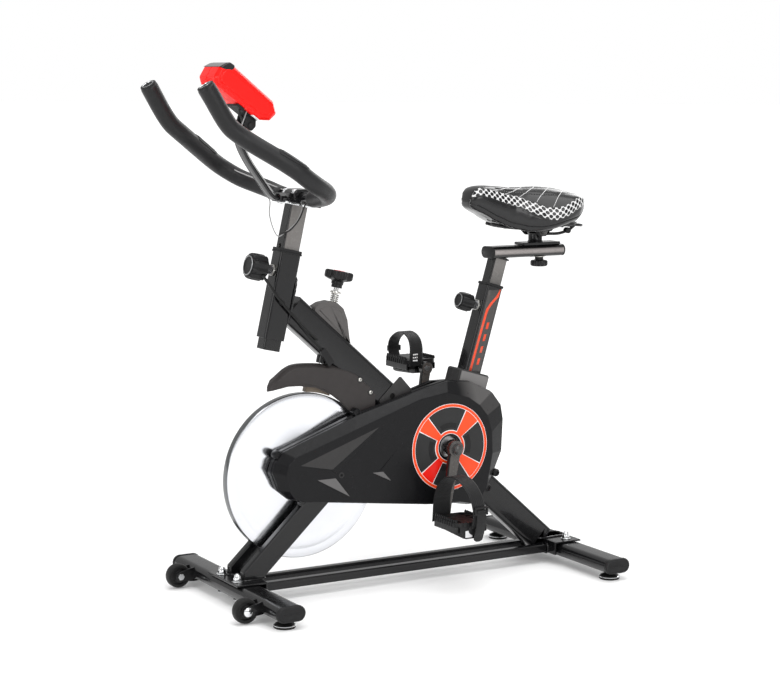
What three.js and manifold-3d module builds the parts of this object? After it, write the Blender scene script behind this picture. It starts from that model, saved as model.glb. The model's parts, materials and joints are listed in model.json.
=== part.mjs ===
// Indoor spin bike, built as separate pieces. Millimetres, +Z up, front of the bike towards -Y,
// the rider's left side towards +X. The pieces are laid out from a fore-aft datum near the
// flywheel; at the end they move so that the origin is on the floor, midway along the bike.
import * as THREE from 'three';
import Module from 'manifold-3d';
import { mergeVertices } from 'three/addons/utils/BufferGeometryUtils.js';

const wasm = await Module();
wasm.setup();

const vec = (x, y, z) => new THREE.Vector3(x, y, z);
const HANDS = [-1, 1];                 // right, left: the sign of x
const handName = (hand) => (hand > 0 ? 'left' : 'right');

// ---------- driving dimensions ----------
const CENTRE_Y = 211;                  // middle of the overall length, from the datum
const GAP = 0.3;                       // clearance between touching pieces
const WALL = 2.2;                      // main tube wall
const HEAD_SLOPE = 0.2217;             // rearward lean of handlebar post and brake rod, y per z
const SEAT_SLOPE = 0.294;              // rearward lean of the seat post, y per z
const TUBE_SLOPE = 0.878;              // fall of the main tube towards the rear, z per y
const FLY_R = 170, FLY_HALF = 10;      // flywheel radius and half thickness
const FLY_CENTRE = vec(0, 17, 247);
const CRANK_CENTRE = vec(0, 340.5, 285);
const CRANK_LENGTH = 150;
const PULLEY_R = 100, PINION_R = PULLEY_R / 4;
const BELT_X0 = 43, BELT_X1 = 51, BELT_SIDE = 0.6;   // belt lane; the belt is narrower by SIDE
const PULLEY_X0 = BELT_X0 - BELT_SIDE, PULLEY_X1 = BELT_X1 + BELT_SIDE;
const LEG_X0 = 21, LEG_X1 = 39;        // fork legs and floor rails, each side
const BRACKET_R = 24;                  // bottom bracket shell
const GRIP_R = 17.8, BAR_R = 12.7;     // foam grip and handlebar

// tube sections: [across, fore-aft]
const TUBE = [40, 60];
const HEAD_SLEEVE = [42, 46], HEAD_POST = [34.4, 38.4];
const SEAT_SLEEVE = [40, 40], SEAT_POST = [32.4, 32.4];
const BORE_PLAY = 0.8, BUSH_PLAY = 1;  // sleeve bore and bush opening, over the post's section
const HEAD_TOP_Z = 704, SEAT_TOP_Z = 612;            // tops of the two sleeves

// floor tubes: flat ovals across the bike
const STAB_HALF = 236, STAB_W = 60, STAB_H = 30, STAB_Z = 32;
const FRONT_Y = -129, REAR_Y = 646;
const FOOT_X = 214;                    // levelling feet, each side
const FLOOR_ENDS = [
  { end: 'front', y: FRONT_Y, boltX: 36, boltY: FRONT_Y - 14 },
  { end: 'rear', y: REAR_Y, boltX: 48, boltY: REAR_Y + 4 },
];
const PLATE_Z0 = STAB_Z + STAB_H / 2 + GAP, PLATE_Z1 = PLATE_Z0 + 4;   // plates on the tubes

// ---------- materials ----------
const MATERIALS = {
  frame: { color: 0x17171a, roughness: 0.35, metalness: 0.4 },
  plastic: { color: 0x1c1c1f, roughness: 0.55, metalness: 0 },
  fender: { color: 0x3a3635, roughness: 0.55, metalness: 0 },
  cap: { color: 0x1e1e20, roughness: 0.7, metalness: 0 },
  chrome: { color: 0xd8dade, roughness: 0.15, metalness: 1 },
  steel: { color: 0x9a9da2, roughness: 0.35, metalness: 1 },
  flywheel: { color: 0xeceef0, roughness: 0.12, metalness: 0.9 },
  rubber: { color: 0x151515, roughness: 0.9, metalness: 0 },
  foam: { color: 0x232325, roughness: 0.95, metalness: 0 },
  red: { color: 0xe8210f, roughness: 0.3, metalness: 0 },
  orange: { color: 0xff5a26, roughness: 0.4, metalness: 0 },
  leather: { color: 0x1d1d20, roughness: 0.5, metalness: 0 },
  grey: { color: 0x8b8684, roughness: 0.6, metalness: 0 },
};

// ---------- solids and meshes ----------
const bike = new THREE.Group();

const solidOf = (positions, triangles) => new wasm.Manifold(new wasm.Mesh({
  numProp: 3,
  vertProperties: Float32Array.from(positions),
  triVerts: Uint32Array.from(triangles),
}));

function toSolid(geometry) {
  const bare = geometry.clone();
  bare.deleteAttribute('normal');
  bare.deleteAttribute('uv');
  const merged = mergeVertices(bare, 1e-4);
  return solidOf(merged.attributes.position.array, merged.index.array);
}

function piece(name, solid, material) {
  const data = solid.getMesh();
  const geometry = new THREE.BufferGeometry();
  const positions = Float32Array.from(data.vertProperties);
  geometry.setAttribute('position', new THREE.BufferAttribute(positions, 3));
  geometry.setIndex(new THREE.BufferAttribute(Uint32Array.from(data.triVerts), 1));
  geometry.computeVertexNormals();
  const mesh = new THREE.Mesh(geometry, new THREE.MeshStandardMaterial(MATERIALS[material]));
  mesh.name = name;
  bike.add(mesh);
}

const join = (...solids) => solids.reduce((a, b) => a.add(b));
const cut = (solid, ...tools) => tools.reduce((a, b) => a.subtract(b), solid);
const biggest = (solid) => solid.decompose().sort((a, b) => b.volume() - a.volume())[0];

// ---------- outlines: lists of [u, v] ----------
const polar = (count, radiusAt, start = 0) => Array.from({ length: count }, (_, i) => {
  const angle = start + (i * 2 * Math.PI) / count;
  const radius = radiusAt(i, angle);
  return [radius * Math.cos(angle), radius * Math.sin(angle)];
});
const polygon = (radius, sides, start) => polar(sides, () => radius, start);

const arc = ([u, v], radius, start, turn, steps) => Array.from({ length: steps + 1 }, (_, i) => {
  const angle = start + (turn * i) / steps;
  return [u + radius * Math.cos(angle), v + radius * Math.sin(angle)];
});

function roundRect(width, height, radius, steps) {
  const u = width / 2 - radius, v = height / 2 - radius;
  const same = (p, q) => Math.hypot(q[0] - p[0], q[1] - p[1]) < 1e-6;
  const corners = [[u, v], [-u, v], [-u, -v], [u, -v]];
  return corners
    .flatMap((centre, i) => arc(centre, radius, (i * Math.PI) / 2, Math.PI / 2, steps))
    .filter((p, i, all) => !same(p, all[(i + all.length - 1) % all.length]));
}
// a tube section made larger (or smaller) overall, with rounded corners
const grown = ([width, height], by, radius, steps) => (
  roundRect(width + by, height + by, radius, steps));

const doubleArea = (points) => points.reduce((total, p, i) => {
  const q = points[(i + 1) % points.length];
  return total + p[0] * q[1] - q[0] * p[1];
}, 0);

// outline moved in by a distance (mitred)
function inset(points, distance) {
  const turn = doubleArea(points) > 0 ? 1 : -1;
  const normal = (p, q) => {
    const u = q[0] - p[0], v = q[1] - p[1], length = Math.hypot(u, v);
    return [(-v / length) * turn, (u / length) * turn];
  };
  return points.map((p, i) => {
    const before = normal(points[(i + points.length - 1) % points.length], p);
    const after = normal(p, points[(i + 1) % points.length]);
    const mitre = distance / Math.max(0.35, 1 + before[0] * after[0] + before[1] * after[1]);
    return [p[0] + (before[0] + after[0]) * mitre, p[1] + (before[1] + after[1]) * mitre];
  });
}

// closed band of a given half thickness along a path
function ribbon(path, half) {
  const one = [], other = [];
  path.forEach((p, i) => {
    const before = path[Math.max(0, i - 1)], after = path[Math.min(path.length - 1, i + 1)];
    const du = after[0] - before[0], dv = after[1] - before[1], length = Math.hypot(du, dv);
    const u = (dv / length) * half, v = (du / length) * half;
    one.push([p[0] - u, p[1] + v]);
    other.unshift([p[0] + u, p[1] - v]);
  });
  return [...one, ...other];
}

// outline symmetric about u = 0, from its +u half
const mirrored = (half) => [...half.map(([u, v]) => [-u, v]), ...[...half].reverse()];
// rectangle as a profile for turned()
const block = (r0, r1, t0, t1) => [[r0, t0], [r1, t0], [r1, t1], [r0, t1]];

// ---------- shape builders ----------
const toVectors = (points) => points.map(([u, v]) => new THREE.Vector2(u, v));

function extrude(points, holes, options) {
  const shape = new THREE.Shape(toVectors(points));
  for (const hole of holes) shape.holes.push(new THREE.Path(toVectors(hole)));
  return new THREE.ExtrudeGeometry(shape, { bevelEnabled: false, ...options });
}

// x range of a part on one hand, from its distances off the centre plane
const span = (hand, near, far) => (hand > 0 ? [near, far] : [-far, -near]);

// prism of a [y, z] outline from x0 to x1
function sidePrism(points, x0, x1, holes = []) {
  const frame = new THREE.Matrix4().makeBasis(vec(0, 1, 0), vec(0, 0, 1), vec(1, 0, 0));
  frame.setPosition(x0, 0, 0);
  return toSolid(extrude(points, holes, { depth: x1 - x0, steps: 1 }).applyMatrix4(frame));
}

// prism from start to end; outline u runs across the bike, or fore-aft if the prism itself
// lies across
function prism(start, end, points, holes = []) {
  const axis = end.clone().sub(start), length = axis.length();
  axis.normalize();
  const u = Math.abs(axis.x) > 0.9 ? vec(0, 1, 0) : vec(1, 0, 0);
  const v = axis.clone().cross(u).normalize();
  const frame = new THREE.Matrix4().makeBasis(u, v, axis);
  frame.setPosition(start);
  return toSolid(extrude(points, holes, { depth: length, steps: 1 }).applyMatrix4(frame));
}
const offset = (point, dir, distance) => point.clone().addScaledVector(dir, distance);
// the same, between two distances from a point along a direction
const prismFrom = (point, dir, from, to, points) => (
  prism(offset(point, dir, from), offset(point, dir, to), points));

const rod = (start, end, radius, sides, inner = 0) => prism(
  start, end, polygon(radius, sides, Math.PI / sides),
  inner ? [polygon(inner, sides, Math.PI / sides)] : [],
);
const rodFrom = (point, dir, from, to, ...size) => (
  rod(offset(point, dir, from), offset(point, dir, to), ...size));
// rods across the bike through a centre, and upright
const axle = ({ y, z }, x0, x1, ...size) => rod(vec(x0, y, z), vec(x1, y, z), ...size);
const upright = (x, y, z0, z1, ...size) => rod(vec(x, y, z0), vec(x, y, z1), ...size);

const box = (x0, x1, y0, y1, z0, z1) => toSolid(
  new THREE.BoxGeometry(x1 - x0, y1 - y0, z1 - z0)
    .translate((x0 + x1) / 2, (y0 + y1) / 2, (z0 + z1) / 2),
);

function flipTriangles(index) {
  for (let i = 0; i < index.length; i += 3) [index[i], index[i + 1]] = [index[i + 1], index[i]];
}

// triangles over an end ring, worked out in the ring's own two widest directions
function capTriangles(ring, base, sameWay) {
  const widths = [0, 1, 2].map((axis) => {
    const values = ring.map((p) => p[axis]);
    return Math.max(...values) - Math.min(...values);
  });
  const thin = [0, 1, 2].sort((a, b) => widths[a] - widths[b])[0];
  const [j, k] = [[1, 2], [2, 0], [0, 1]][thin];
  const points = ring.map((p) => [p[j], p[k]]);
  const whole = doubleArea(points);
  return THREE.ShapeUtils.triangulateShape(toVectors(points), []).flatMap((triangle) => {
    const alike = doubleArea(triangle.map((i) => points[i])) * whole > 0;
    const [a, b, c] = triangle.map((i) => base + i);
    return alike === sameWay ? [a, b, c] : [a, c, b];
  });
}

// closed skin through rings of [x, y, z], each with the same number of points
function loft(rings) {
  const count = rings[0].length, last = rings.length - 1, index = [];
  for (let k = 0; k < last; k++)
    for (let i = 0; i < count; i++) {
      const a = k * count + i, b = k * count + ((i + 1) % count);
      index.push(a, b, b + count, a, b + count, a + count);
    }
  index.push(...capTriangles(rings[0], 0, false));
  index.push(...capTriangles(rings[last], last * count, true));
  const solid = solidOf(rings.flat(2), index);
  if (solid.volume() >= 0) return solid;
  flipTriangles(index);
  return solidOf(rings.flat(2), index);
}
// loft through stations of [outline in y and z, x]
const loftAcross = (...stations) => (
  loft(stations.map(([outline, x]) => outline.map(([y, z]) => [x, y, z]))));

// prism of an [x, z] outline from y0 to y1
function frontPrism(points, y0, y1) {
  const outline = doubleArea(points) > 0 ? points : [...points].reverse();
  return loft([y1, y0].map((y) => outline.map(([x, z]) => [x, y, z])));
}

// turned body: closed profile of [radius, distance along the axis] from a centre
function turned(profile, centre, axis, segments) {
  const geometry = new THREE.LatheGeometry(toVectors([...profile, profile[0]]), segments);
  const turn = new THREE.Quaternion().setFromUnitVectors(vec(0, 1, 0), axis);
  geometry.applyQuaternion(turn).translate(centre.x, centre.y, centre.z);
  const solid = toSolid(geometry);
  if (solid.volume() >= 0) return solid;
  flipTriangles(geometry.index.array);
  return toSolid(geometry);
}
const ACROSS = vec(1, 0, 0), UP = vec(0, 0, 1);

// ---------- tube axes ----------
const leaning = (y0, z0, slope) => (z) => vec(0, y0 + slope * (z - z0), z);
const headAt = leaning(-14.2, 693, HEAD_SLOPE);
const seatAt = leaning(474.5, 606, SEAT_SLOPE);
const rodAt = leaning(FLY_CENTRE.y, FLY_CENTRE.z, HEAD_SLOPE);    // brake rod
const tubeAt = (y) => vec(0, y, 607.5 - TUBE_SLOPE * (y + 26.8));
const headDir = vec(0, HEAD_SLOPE, 1).normalize();
const seatDir = vec(0, SEAT_SLOPE, 1).normalize();
const frontOf = (dir) => vec(0, -dir.z, dir.y);

// The two locking knobs. centre: on the post's axis; collar: start and end of the threaded
// collar; base: zero of the knob's own lengths; neck: from base to the knob's head.
const LOCKS = [
  {
    name: 'post_knob', centre: headAt(664), dir: frontOf(headDir), collar: [22.6, 43],
    base: 23, neck: 21, headRadius: 27, headLength: 38,
  },
  {
    name: 'seat_knob', centre: seatAt(567), dir: frontOf(seatDir), collar: [19.6, 37],
    base: 20, neck: 18, headRadius: 19.5, headLength: 34,
  },
];
const [POST_LOCK, SEAT_LOCK] = LOCKS;
const PIN_HOLE_R = 5.4;

// ---------- main frame ----------
const LEG_ANGLE = 0.7537;              // rise of the fork legs, radians
const LEG_TOP = [207, 356];
const LEG_HALF = 22;
// the two edge points of a leg at [y, z], upper edge first
const legEdges = ([y, z], half) => {
  const dy = half * Math.sin(LEG_ANGLE), dz = half * Math.cos(LEG_ANGLE);
  return [[y - dy, z + dz], [y + dy, z - dz]];
};
function legStrip(low, high, half) {
  const [lowUpper, lowLower] = legEdges(low, half);
  return [lowUpper, ...legEdges(high, half), lowLower];
}

// plate on a floor tube, with a lip down its side that faces the middle of the bike
function mountPlate(tubeY, inward) {
  const range = (from, to) => span(inward, from, to).map((y) => tubeY + y);
  return join(
    box(-68, 68, ...range(-30, 34), PLATE_Z0, PLATE_Z1),
    box(-68, 68, ...range(33.5, 38.5), STAB_Z - 9, PLATE_Z1),
  );
}

// fork leg, floor rail, and the flywheel bearing's housing with its web
function frameSide(hand) {
  const range = span(hand, LEG_X0, LEG_X1);
  const footZ = PLATE_Z1 - 1;
  const leg = [
    [-106, footZ], [-130.5, footZ], [-130.5, 69], ...legEdges(LEG_TOP, LEG_HALF), [-86.5, footZ],
  ];
  return join(
    sidePrism(leg, ...range),
    box(...range, FRONT_Y + 38, REAR_Y - 38, 23.5, 41.5),
    sidePrism([[-2, 250], [-1, 190], [45, 190], [82, 236], [36, 250]], ...range),
    axle(FLY_CENTRE, ...range, 22, 16),
  );
}

function frameOutside() {
  const tubes = join(
    prism(tubeAt(-20), tubeAt(640), grown(TUBE, 0, 8, 2)),
    prism(headAt(531), headAt(HEAD_TOP_Z), grown(HEAD_SLEEVE, 0, 5, 2)),
    prism(seatAt(258), seatAt(SEAT_TOP_Z), grown(SEAT_SLEEVE, 0, 5, 2)),
    axle(CRANK_CENTRE, -36, 36, BRACKET_R, 16),
  );
  return join(
    // the foot of the main tube stands on the rear plate
    cut(tubes, box(-60, 60, 560, 760, -60, PLATE_Z0 + 2)),
    mountPlate(REAR_Y, -1),
    mountPlate(FRONT_Y, 1),
    ...HANDS.map(frameSide),
    // boss for the brake rod, through the main tube
    rod(rodAt(474), rodAt(566), 13, 8),
  );
}

function frameBores() {
  const bracketShell = axle(CRANK_CENTRE, -70, 70, BRACKET_R, 16);
  return [
    // the main tube's bore stops at the head sleeve, the brake rod's boss and the bracket shell
    cut(
      prism(tubeAt(-10), tubeAt(600), grown(TUBE, -2 * WALL, 6, 2)),
      prism(headAt(480), headAt(760), grown(HEAD_SLEEVE, 0, 5, 2)),
      rod(rodAt(440), rodAt(620), 13, 8),
      bracketShell,
    ),
    prism(headAt(500), headAt(740), grown(HEAD_POST, BORE_PLAY, 3, 1)),
    cut(prism(seatAt(330), seatAt(660), grown(SEAT_POST, BORE_PLAY, 3, 1)), bracketShell),
    axle(CRANK_CENTRE, -60, 60, 19.4, 16),
    rod(rodAt(440), rodAt(620), 6.8, 8),
  ];
}

// flywheel bearing bore, leg hollow and floor bolt holes of one side
function frameSideCuts(hand) {
  const hollowTop = [LEG_TOP[0] + 30, LEG_TOP[1] + 28];   // beyond the leg: its top end is open
  return [
    axle(FLY_CENTRE, hand * 15, hand * 45, 18.4, 16),
    sidePrism(legStrip([-60, 105], hollowTop, LEG_HALF - 2), ...span(hand, LEG_X0 + 2, LEG_X1 - 2)),
    ...FLOOR_ENDS.map(({ boltX, boltY }) => upright(hand * boltX, boltY, 40, 60, 5.4, 8)),
  ];
}

function mainFrame() {
  const pinHoles = LOCKS.map(({ centre, dir }) => (
    prismFrom(centre, dir, 0, 60, polygon(PIN_HOLE_R, 8))));
  const collars = LOCKS.map(({ centre, dir, collar }) => (
    rodFrom(centre, dir, ...collar, 9.5, 12, PIN_HOLE_R)));
  const drilled = cut(
    frameOutside(), ...frameBores(), ...HANDS.flatMap(frameSideCuts), ...pinHoles);
  return join(drilled, ...collars);
}
piece('main_frame', mainFrame(), 'frame');

// ---------- floor tubes, caps, bolts, feet, wheels ----------
const WHEEL = { x: 157, y: -186, z: 27 };

function floorTube({ y, boltX, boltY }) {
  const tube = prism(
    vec(-STAB_HALF, y, STAB_Z), vec(STAB_HALF, y, STAB_Z),
    roundRect(STAB_W, STAB_H, STAB_H / 2, 3),
    [roundRect(STAB_W - 4, STAB_H - 4, STAB_H / 2 - 2, 3)],
  );
  return cut(
    tube,
    ...HANDS.map((hand) => upright(hand * boltX, boltY, 0, 60, 4.6, 8)),
    ...HANDS.map((hand) => upright(hand * FOOT_X, y, 0, 30, 5.8, 8)),
  );
}

// two cheeks and an axle for a transport wheel
function wheelMount(hand) {
  const cheek = [
    [FRONT_Y - 27, STAB_Z + 12], [WHEEL.y + 4, WHEEL.z + 11], [WHEEL.y - 8, WHEEL.z + 7],
    [WHEEL.y - 10, WHEEL.z - 4], [WHEEL.y - 2, WHEEL.z - 10], [FRONT_Y - 27, STAB_Z - 12],
  ];
  return join(
    sidePrism(cheek, ...span(hand, 142, 145.6)),
    sidePrism(cheek, ...span(hand, 168.4, 172)),
    axle(WHEEL, hand * 143, hand * 174, 4.4, 12),
  );
}

function floorCap(y, hand) {
  const at = (x) => vec(hand * x, y, STAB_Z);
  const end = at(STAB_HALF + 9);
  return join(
    prism(at(STAB_HALF + GAP), end, roundRect(STAB_W + 2, STAB_H + 2, STAB_H / 2 + 1, 4)),
    prism(at(STAB_HALF - 12), end, roundRect(STAB_W - 6, STAB_H - 6, STAB_H / 2 - 3, 2)),
  );
}

// profiles of [radius, z]
const BOLT_PROFILE = [                 // carriage bolt with washer and domed nut
  [0, 12.5], [9, 16.4], [4.2, 16.4], [4.2, PLATE_Z1 + GAP], [10, PLATE_Z1 + GAP],
  [10, PLATE_Z1 + 2], [6.6, PLATE_Z1 + 2], [6.6, PLATE_Z1 + 10], [0, PLATE_Z1 + 17],
];
const FOOT_PROFILE = [                 // levelling foot: pad, rim and stud
  [0, 0], [21, 0], [22, 4], [18, 9], [8, 12.4], [5, 12.4], [5, 26], [0, 26],
];
const WHEEL_PROFILE = [                // [radius, x from the wheel's middle]
  [5, -10], [12, -10], [13, -8], [20, -8], [22, -10], [25, -7],
  [25, 7], [22, 10], [20, 8], [13, 8], [12, 10], [5, 10],
];

const [FRONT_END, REAR_END] = FLOOR_ENDS;
piece('front_stabilizer', join(floorTube(FRONT_END), ...HANDS.map(wheelMount)), 'frame');
piece('rear_stabilizer', floorTube(REAR_END), 'frame');
for (const { end, y, boltX, boltY } of FLOOR_ENDS)
  for (const hand of HANDS) {
    const tag = handName(hand);
    piece(`${end}_cap_${tag}`, floorCap(y, hand), 'cap');
    piece(`${end}_bolt_${tag}`, turned(BOLT_PROFILE, vec(hand * boltX, boltY, 0), UP, 8), 'chrome');
    piece(`${end}_foot_${tag}`, turned(FOOT_PROFILE, vec(hand * FOOT_X, y, 0), UP, 12), 'rubber');
  }
for (const hand of HANDS) {
  const centre = vec(hand * WHEEL.x, WHEEL.y, WHEEL.z);
  piece(`transport_wheel_${handName(hand)}`, turned(WHEEL_PROFILE, centre, ACROSS, 12), 'rubber');
}

// ---------- flywheel, pulleys and belt ----------
// profiles of [radius, x]
const FLYWHEEL_PROFILE = [
  [8.8, -19.5], [19, -19.5], [24, -FLY_HALF], [FLY_R, -FLY_HALF],
  [FLY_R, FLY_HALF], [24, FLY_HALF], [19, 19.5], [8.8, 19.5],
];
const PINION_PROFILE = [
  [8.8, 40.5], [15, 40.5], [15, PULLEY_X0], [PINION_R, PULLEY_X0],
  [PINION_R, PULLEY_X1], [8.8, PULLEY_X1],
];
const SPINDLE_PULLEY_PROFILE = [       // the big pulley and its spindle are one piece
  [0, -86], [8.5, -86], [8.5, 41], [22, PULLEY_X0], [PULLEY_R, PULLEY_X0],
  [PULLEY_R, PULLEY_X1], [22, PULLEY_X1], [8.5, 53], [8.5, 86], [0, 86],
];

// loop round both pulleys, clear of their rims
function beltLoop(clear) {
  const small = PINION_R + clear, big = PULLEY_R + clear;
  const dy = CRANK_CENTRE.y - FLY_CENTRE.y, dz = CRANK_CENTRE.z - FLY_CENTRE.z;
  const base = Math.atan2(dz, dy);
  const tangent = Math.acos((big - small) / Math.hypot(dy, dz));
  const wrap = Math.PI - tangent;      // half the wrap on the big pulley
  return [
    ...arc([CRANK_CENTRE.y, CRANK_CENTRE.z], big, base - wrap, 2 * wrap, 20),
    ...arc([FLY_CENTRE.y, FLY_CENTRE.z], small, base + wrap, 2 * tangent, 8),
  ];
}
function driveBelt() {
  const clear = 1.2, thickness = 2.6;
  return sidePrism(
    beltLoop(clear + thickness), BELT_X0 + BELT_SIDE, BELT_X1 - BELT_SIDE, [beltLoop(clear)]);
}

piece('flywheel', turned(FLYWHEEL_PROFILE, FLY_CENTRE, ACROSS, 44), 'flywheel');
piece('flywheel_shaft', turned(block(0, 8.5, -46, 55), FLY_CENTRE, ACROSS, 16), 'steel');
for (const hand of HANDS) {
  const centre = offset(FLY_CENTRE, ACROSS, hand * 30);
  const bearing = turned(block(9, 17.7, -7, 7), centre, ACROSS, 16);
  piece(`shaft_bearing_${handName(hand)}`, bearing, 'steel');
}
piece('small_pulley', turned(PINION_PROFILE, FLY_CENTRE, ACROSS, 20), 'steel');
piece('drive_belt', driveBelt(), 'rubber');
piece('bottom_bracket', turned(block(9.2, 18.6, -38, 38), CRANK_CENTRE, ACROSS, 16), 'steel');
piece('spindle_pulley', turned(SPINDLE_PULLEY_PROFILE, CRANK_CENTRE, ACROSS, 28), 'steel');

// ---------- cranks, pedals and straps ----------
const LEFT_ARM_DIR = vec(0, -25, -148).normalize();
const PEDAL_SPINDLE_PROFILE = [        // [radius, distance out from the centre plane]
  [0, 74], [6.2, 74], [6.2, 88.4], [10, 88.4], [10, 94], [6, 94], [6, 186], [0, 186],
];

function crankArm(hand, dir, end) {
  const beside = (centre, w) => [centre.y + dir.z * w, centre.z - dir.y * w];
  const bar = [
    beside(CRANK_CENTRE, 13), beside(end, 10.5), beside(end, -10.5), beside(CRANK_CENTRE, -13),
  ];
  const arm = join(
    axle(CRANK_CENTRE, hand * 66, hand * 86, 18, 16),
    axle(end, hand * 74, hand * 88, 13.5, 14),
    sidePrism(bar, ...span(hand, 73, 86)),
  );
  return cut(
    arm,
    axle(CRANK_CENTRE, hand * 60, hand * 100, 8.95, 12),
    axle(end, hand * 60, hand * 100, 6.7, 12),
  );
}

// platform over a bored barrel, with a window through it in front of and behind the barrel
function pedal(hand, { y, z }) {
  const part = (points, near, far) => (
    sidePrism(points.map((p) => [y + p[0], z + p[1]]), ...span(hand, near, far)));
  const opening = (y0, y1) => part([[y0, -26], [y1, -26], [y1, 30], [y0, 30]], 106, 181);
  const platform = [
    [-38, 9], [-34, 6], [31, 6], [35, 9], [35, 20], [31, 23], [-34, 23], [-38, 20],
  ];
  const barrel = [[-20, -15], [-15, -20], [11, -20], [16, -15], [16, 8], [-20, 8]];
  return cut(
    join(part(platform, 97, 190), part(barrel, 98, 190)),
    opening(-32, -20.6),
    opening(16.6, 29),
    axle({ y, z }, hand * 95, hand * 187.5, 6.6, 12),
  );
}

// band that rises beside the crank, arches over the pedal and comes down on the outer side
function toeStrap(hand, { y, z }) {
  const rise = hand > 0 ? 1 : 0.7;     // the right strap lies lower
  const path = [                       // [distance out, height above the pedal spindle]
    [95.4, 8], [94.6, 40 * rise], [98, 68 * rise], [109, 89 * rise], [129, 101 * rise],
    [152, 102 * rise], [176, 91 * rise], [196, 71 * rise], [204, 46 * rise],
    [201, 24 * rise + 2], [192.4, 8],
  ];
  const band = ribbon(path, 1.3).map(([out, up]) => [hand * out, z + up]);
  return frontPrism(band, y - 34, y - 2);
}

for (const hand of HANDS) {
  const tag = handName(hand);
  const dir = LEFT_ARM_DIR.clone().multiplyScalar(hand);
  const end = offset(CRANK_CENTRE, dir, CRANK_LENGTH);
  piece(`crank_arm_${tag}`, crankArm(hand, dir, end), 'frame');
  const spindle = turned(PEDAL_SPINDLE_PROFILE, end, vec(hand, 0, 0), 12);
  piece(`pedal_spindle_${tag}`, spindle, 'steel');
  piece(`pedal_${tag}`, pedal(hand, end), 'plastic');
  piece(`toe_strap_${tag}`, toeStrap(hand, end), 'rubber');
}

// ---------- belt guard ----------
// outlines of [y, z]: rim and outer face of the left guard, rim of the right one
const GUARD_RIM = [
  [-66, 266], [-50, 226], [-28, 208], [2, 199], [60, 192], [300, 163], [372, 158],
  [404, 152], [426, 163], [447, 186], [466, 224], [483, 262], [486, 330], [480, 362],
  [457, 391], [400, 417], [345, 422], [286, 409], [125, 366], [-41, 306], [-60, 285],
];
const GUARD_FACE = [
  [-43, 259], [-36, 228], [-24, 210], [4, 202], [62, 196], [300, 167], [370, 165],
  [402, 158], [420, 169], [436, 190], [442, 226], [448, 262], [446, 308], [434, 344],
  [414, 368], [386, 387], [336, 401], [267, 391], [112, 339], [-22, 295], [-38, 279],
];
const RIGHT_RIM = [
  [236, 226], [262, 190], [300, 172], [344, 164], [388, 168], [426, 184], [452, 214],
  [466, 256], [468, 310], [458, 354], [436, 392], [392, 414], [345, 414], [290, 398],
  [250, 360], [232, 310], [228, 262],
];
const GUARD_WALL = 2.6;

// clearances round the frame, cut from the guards
const tubeClear = prism(tubeAt(-60), tubeAt(700), grown(TUBE, 2, 5, 1));
const seatClear = prism(seatAt(250), seatAt(640), grown(SEAT_SLEEVE, 2, 4, 1));
const legClearRange = (hand) => span(hand, LEG_X0 - 1, LEG_X1 + 1);
const legClear = (hand) => (
  sidePrism(legStrip([-140, 30], [240, 387], LEG_HALF + 1.2), ...legClearRange(hand)));
const bracketClear = (hand) => axle(CRANK_CENTRE, hand * 5, hand * 40, BRACKET_R + 1.5, 24);
const housingClear = join(
  axle(FLY_CENTRE, 10, 45, 23.5, 20),
  sidePrism([[-4, 252], [-4, 180], [50, 180], [96, 240], [36, 254]], ...legClearRange(1)),
);

// half of the boss round the foot of the seat tube
const bossHalf = (hand) => cut(
  prism(seatAt(384), seatAt(433), roundRect(56, 78, 6, 1)),
  box(...span(hand, -40, 0.2), 300, 560, 300, 560),
);

function guardOuter() {
  const rimInside = inset(GUARD_RIM, GUARD_WALL);
  return cut(
    loftAcross([GUARD_RIM, 28.2], [GUARD_RIM, 40], [GUARD_FACE, 57.5]),
    loftAcross([rimInside, 27], [rimInside, 39], [inset(GUARD_FACE, GUARD_WALL), 55]),
    legClear(1),
    housingClear,
    axle(CRANK_CENTRE, 40, 70, 24, 24),
  );
}

function guardInner() {
  const rimInside = inset(GUARD_RIM, GUARD_WALL);
  const tray = cut(
    loftAcross([inset(GUARD_RIM, 3), 13], [GUARD_RIM, 18], [GUARD_RIM, 27.8]),
    loftAcross([inset(GUARD_RIM, 3 + GUARD_WALL), 15.6], [rimInside, 18.5], [rimInside, 29]),
  );
  return biggest(cut(
    join(tray, cut(bossHalf(1), box(-1, 27.8, 300, 560, 300, 398))),
    axle(FLY_CENTRE, 10, 22, 26, 20),
    tubeClear,
    seatClear,
    legClear(1),
    housingClear,
    bracketClear(1),
    box(27.8, 40, 200, 600, 300, 405),
  ));
}

// right-hand cover, over the bottom bracket and round the seat tube
function guardRight() {
  const rimInside = inset(RIGHT_RIM, GUARD_WALL);
  const tray = cut(
    loftAcross([inset(RIGHT_RIM, 12), -44], [RIGHT_RIM, -34], [RIGHT_RIM, -21]),
    loftAcross([inset(RIGHT_RIM, 14.4), -41.4], [rimInside, -33], [rimInside, -20]),
  );
  return biggest(cut(
    join(tray, cut(bossHalf(-1), box(-60, 60, 300, 560, 300, 398))),
    tubeClear,
    seatClear,
    legClear(-1),
    bracketClear(-1),
    axle(CRANK_CENTRE, -60, -10, 26, 24),
  ));
}

piece('guard_outer', guardOuter(), 'plastic');
piece('guard_inner', guardInner(), 'plastic');
piece('guard_right', guardRight(), 'plastic');
// disc on the outer guard
piece('guard_disc', turned(block(26, 92, 57.8, 59.8), CRANK_CENTRE, ACROSS, 28), 'orange');

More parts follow.
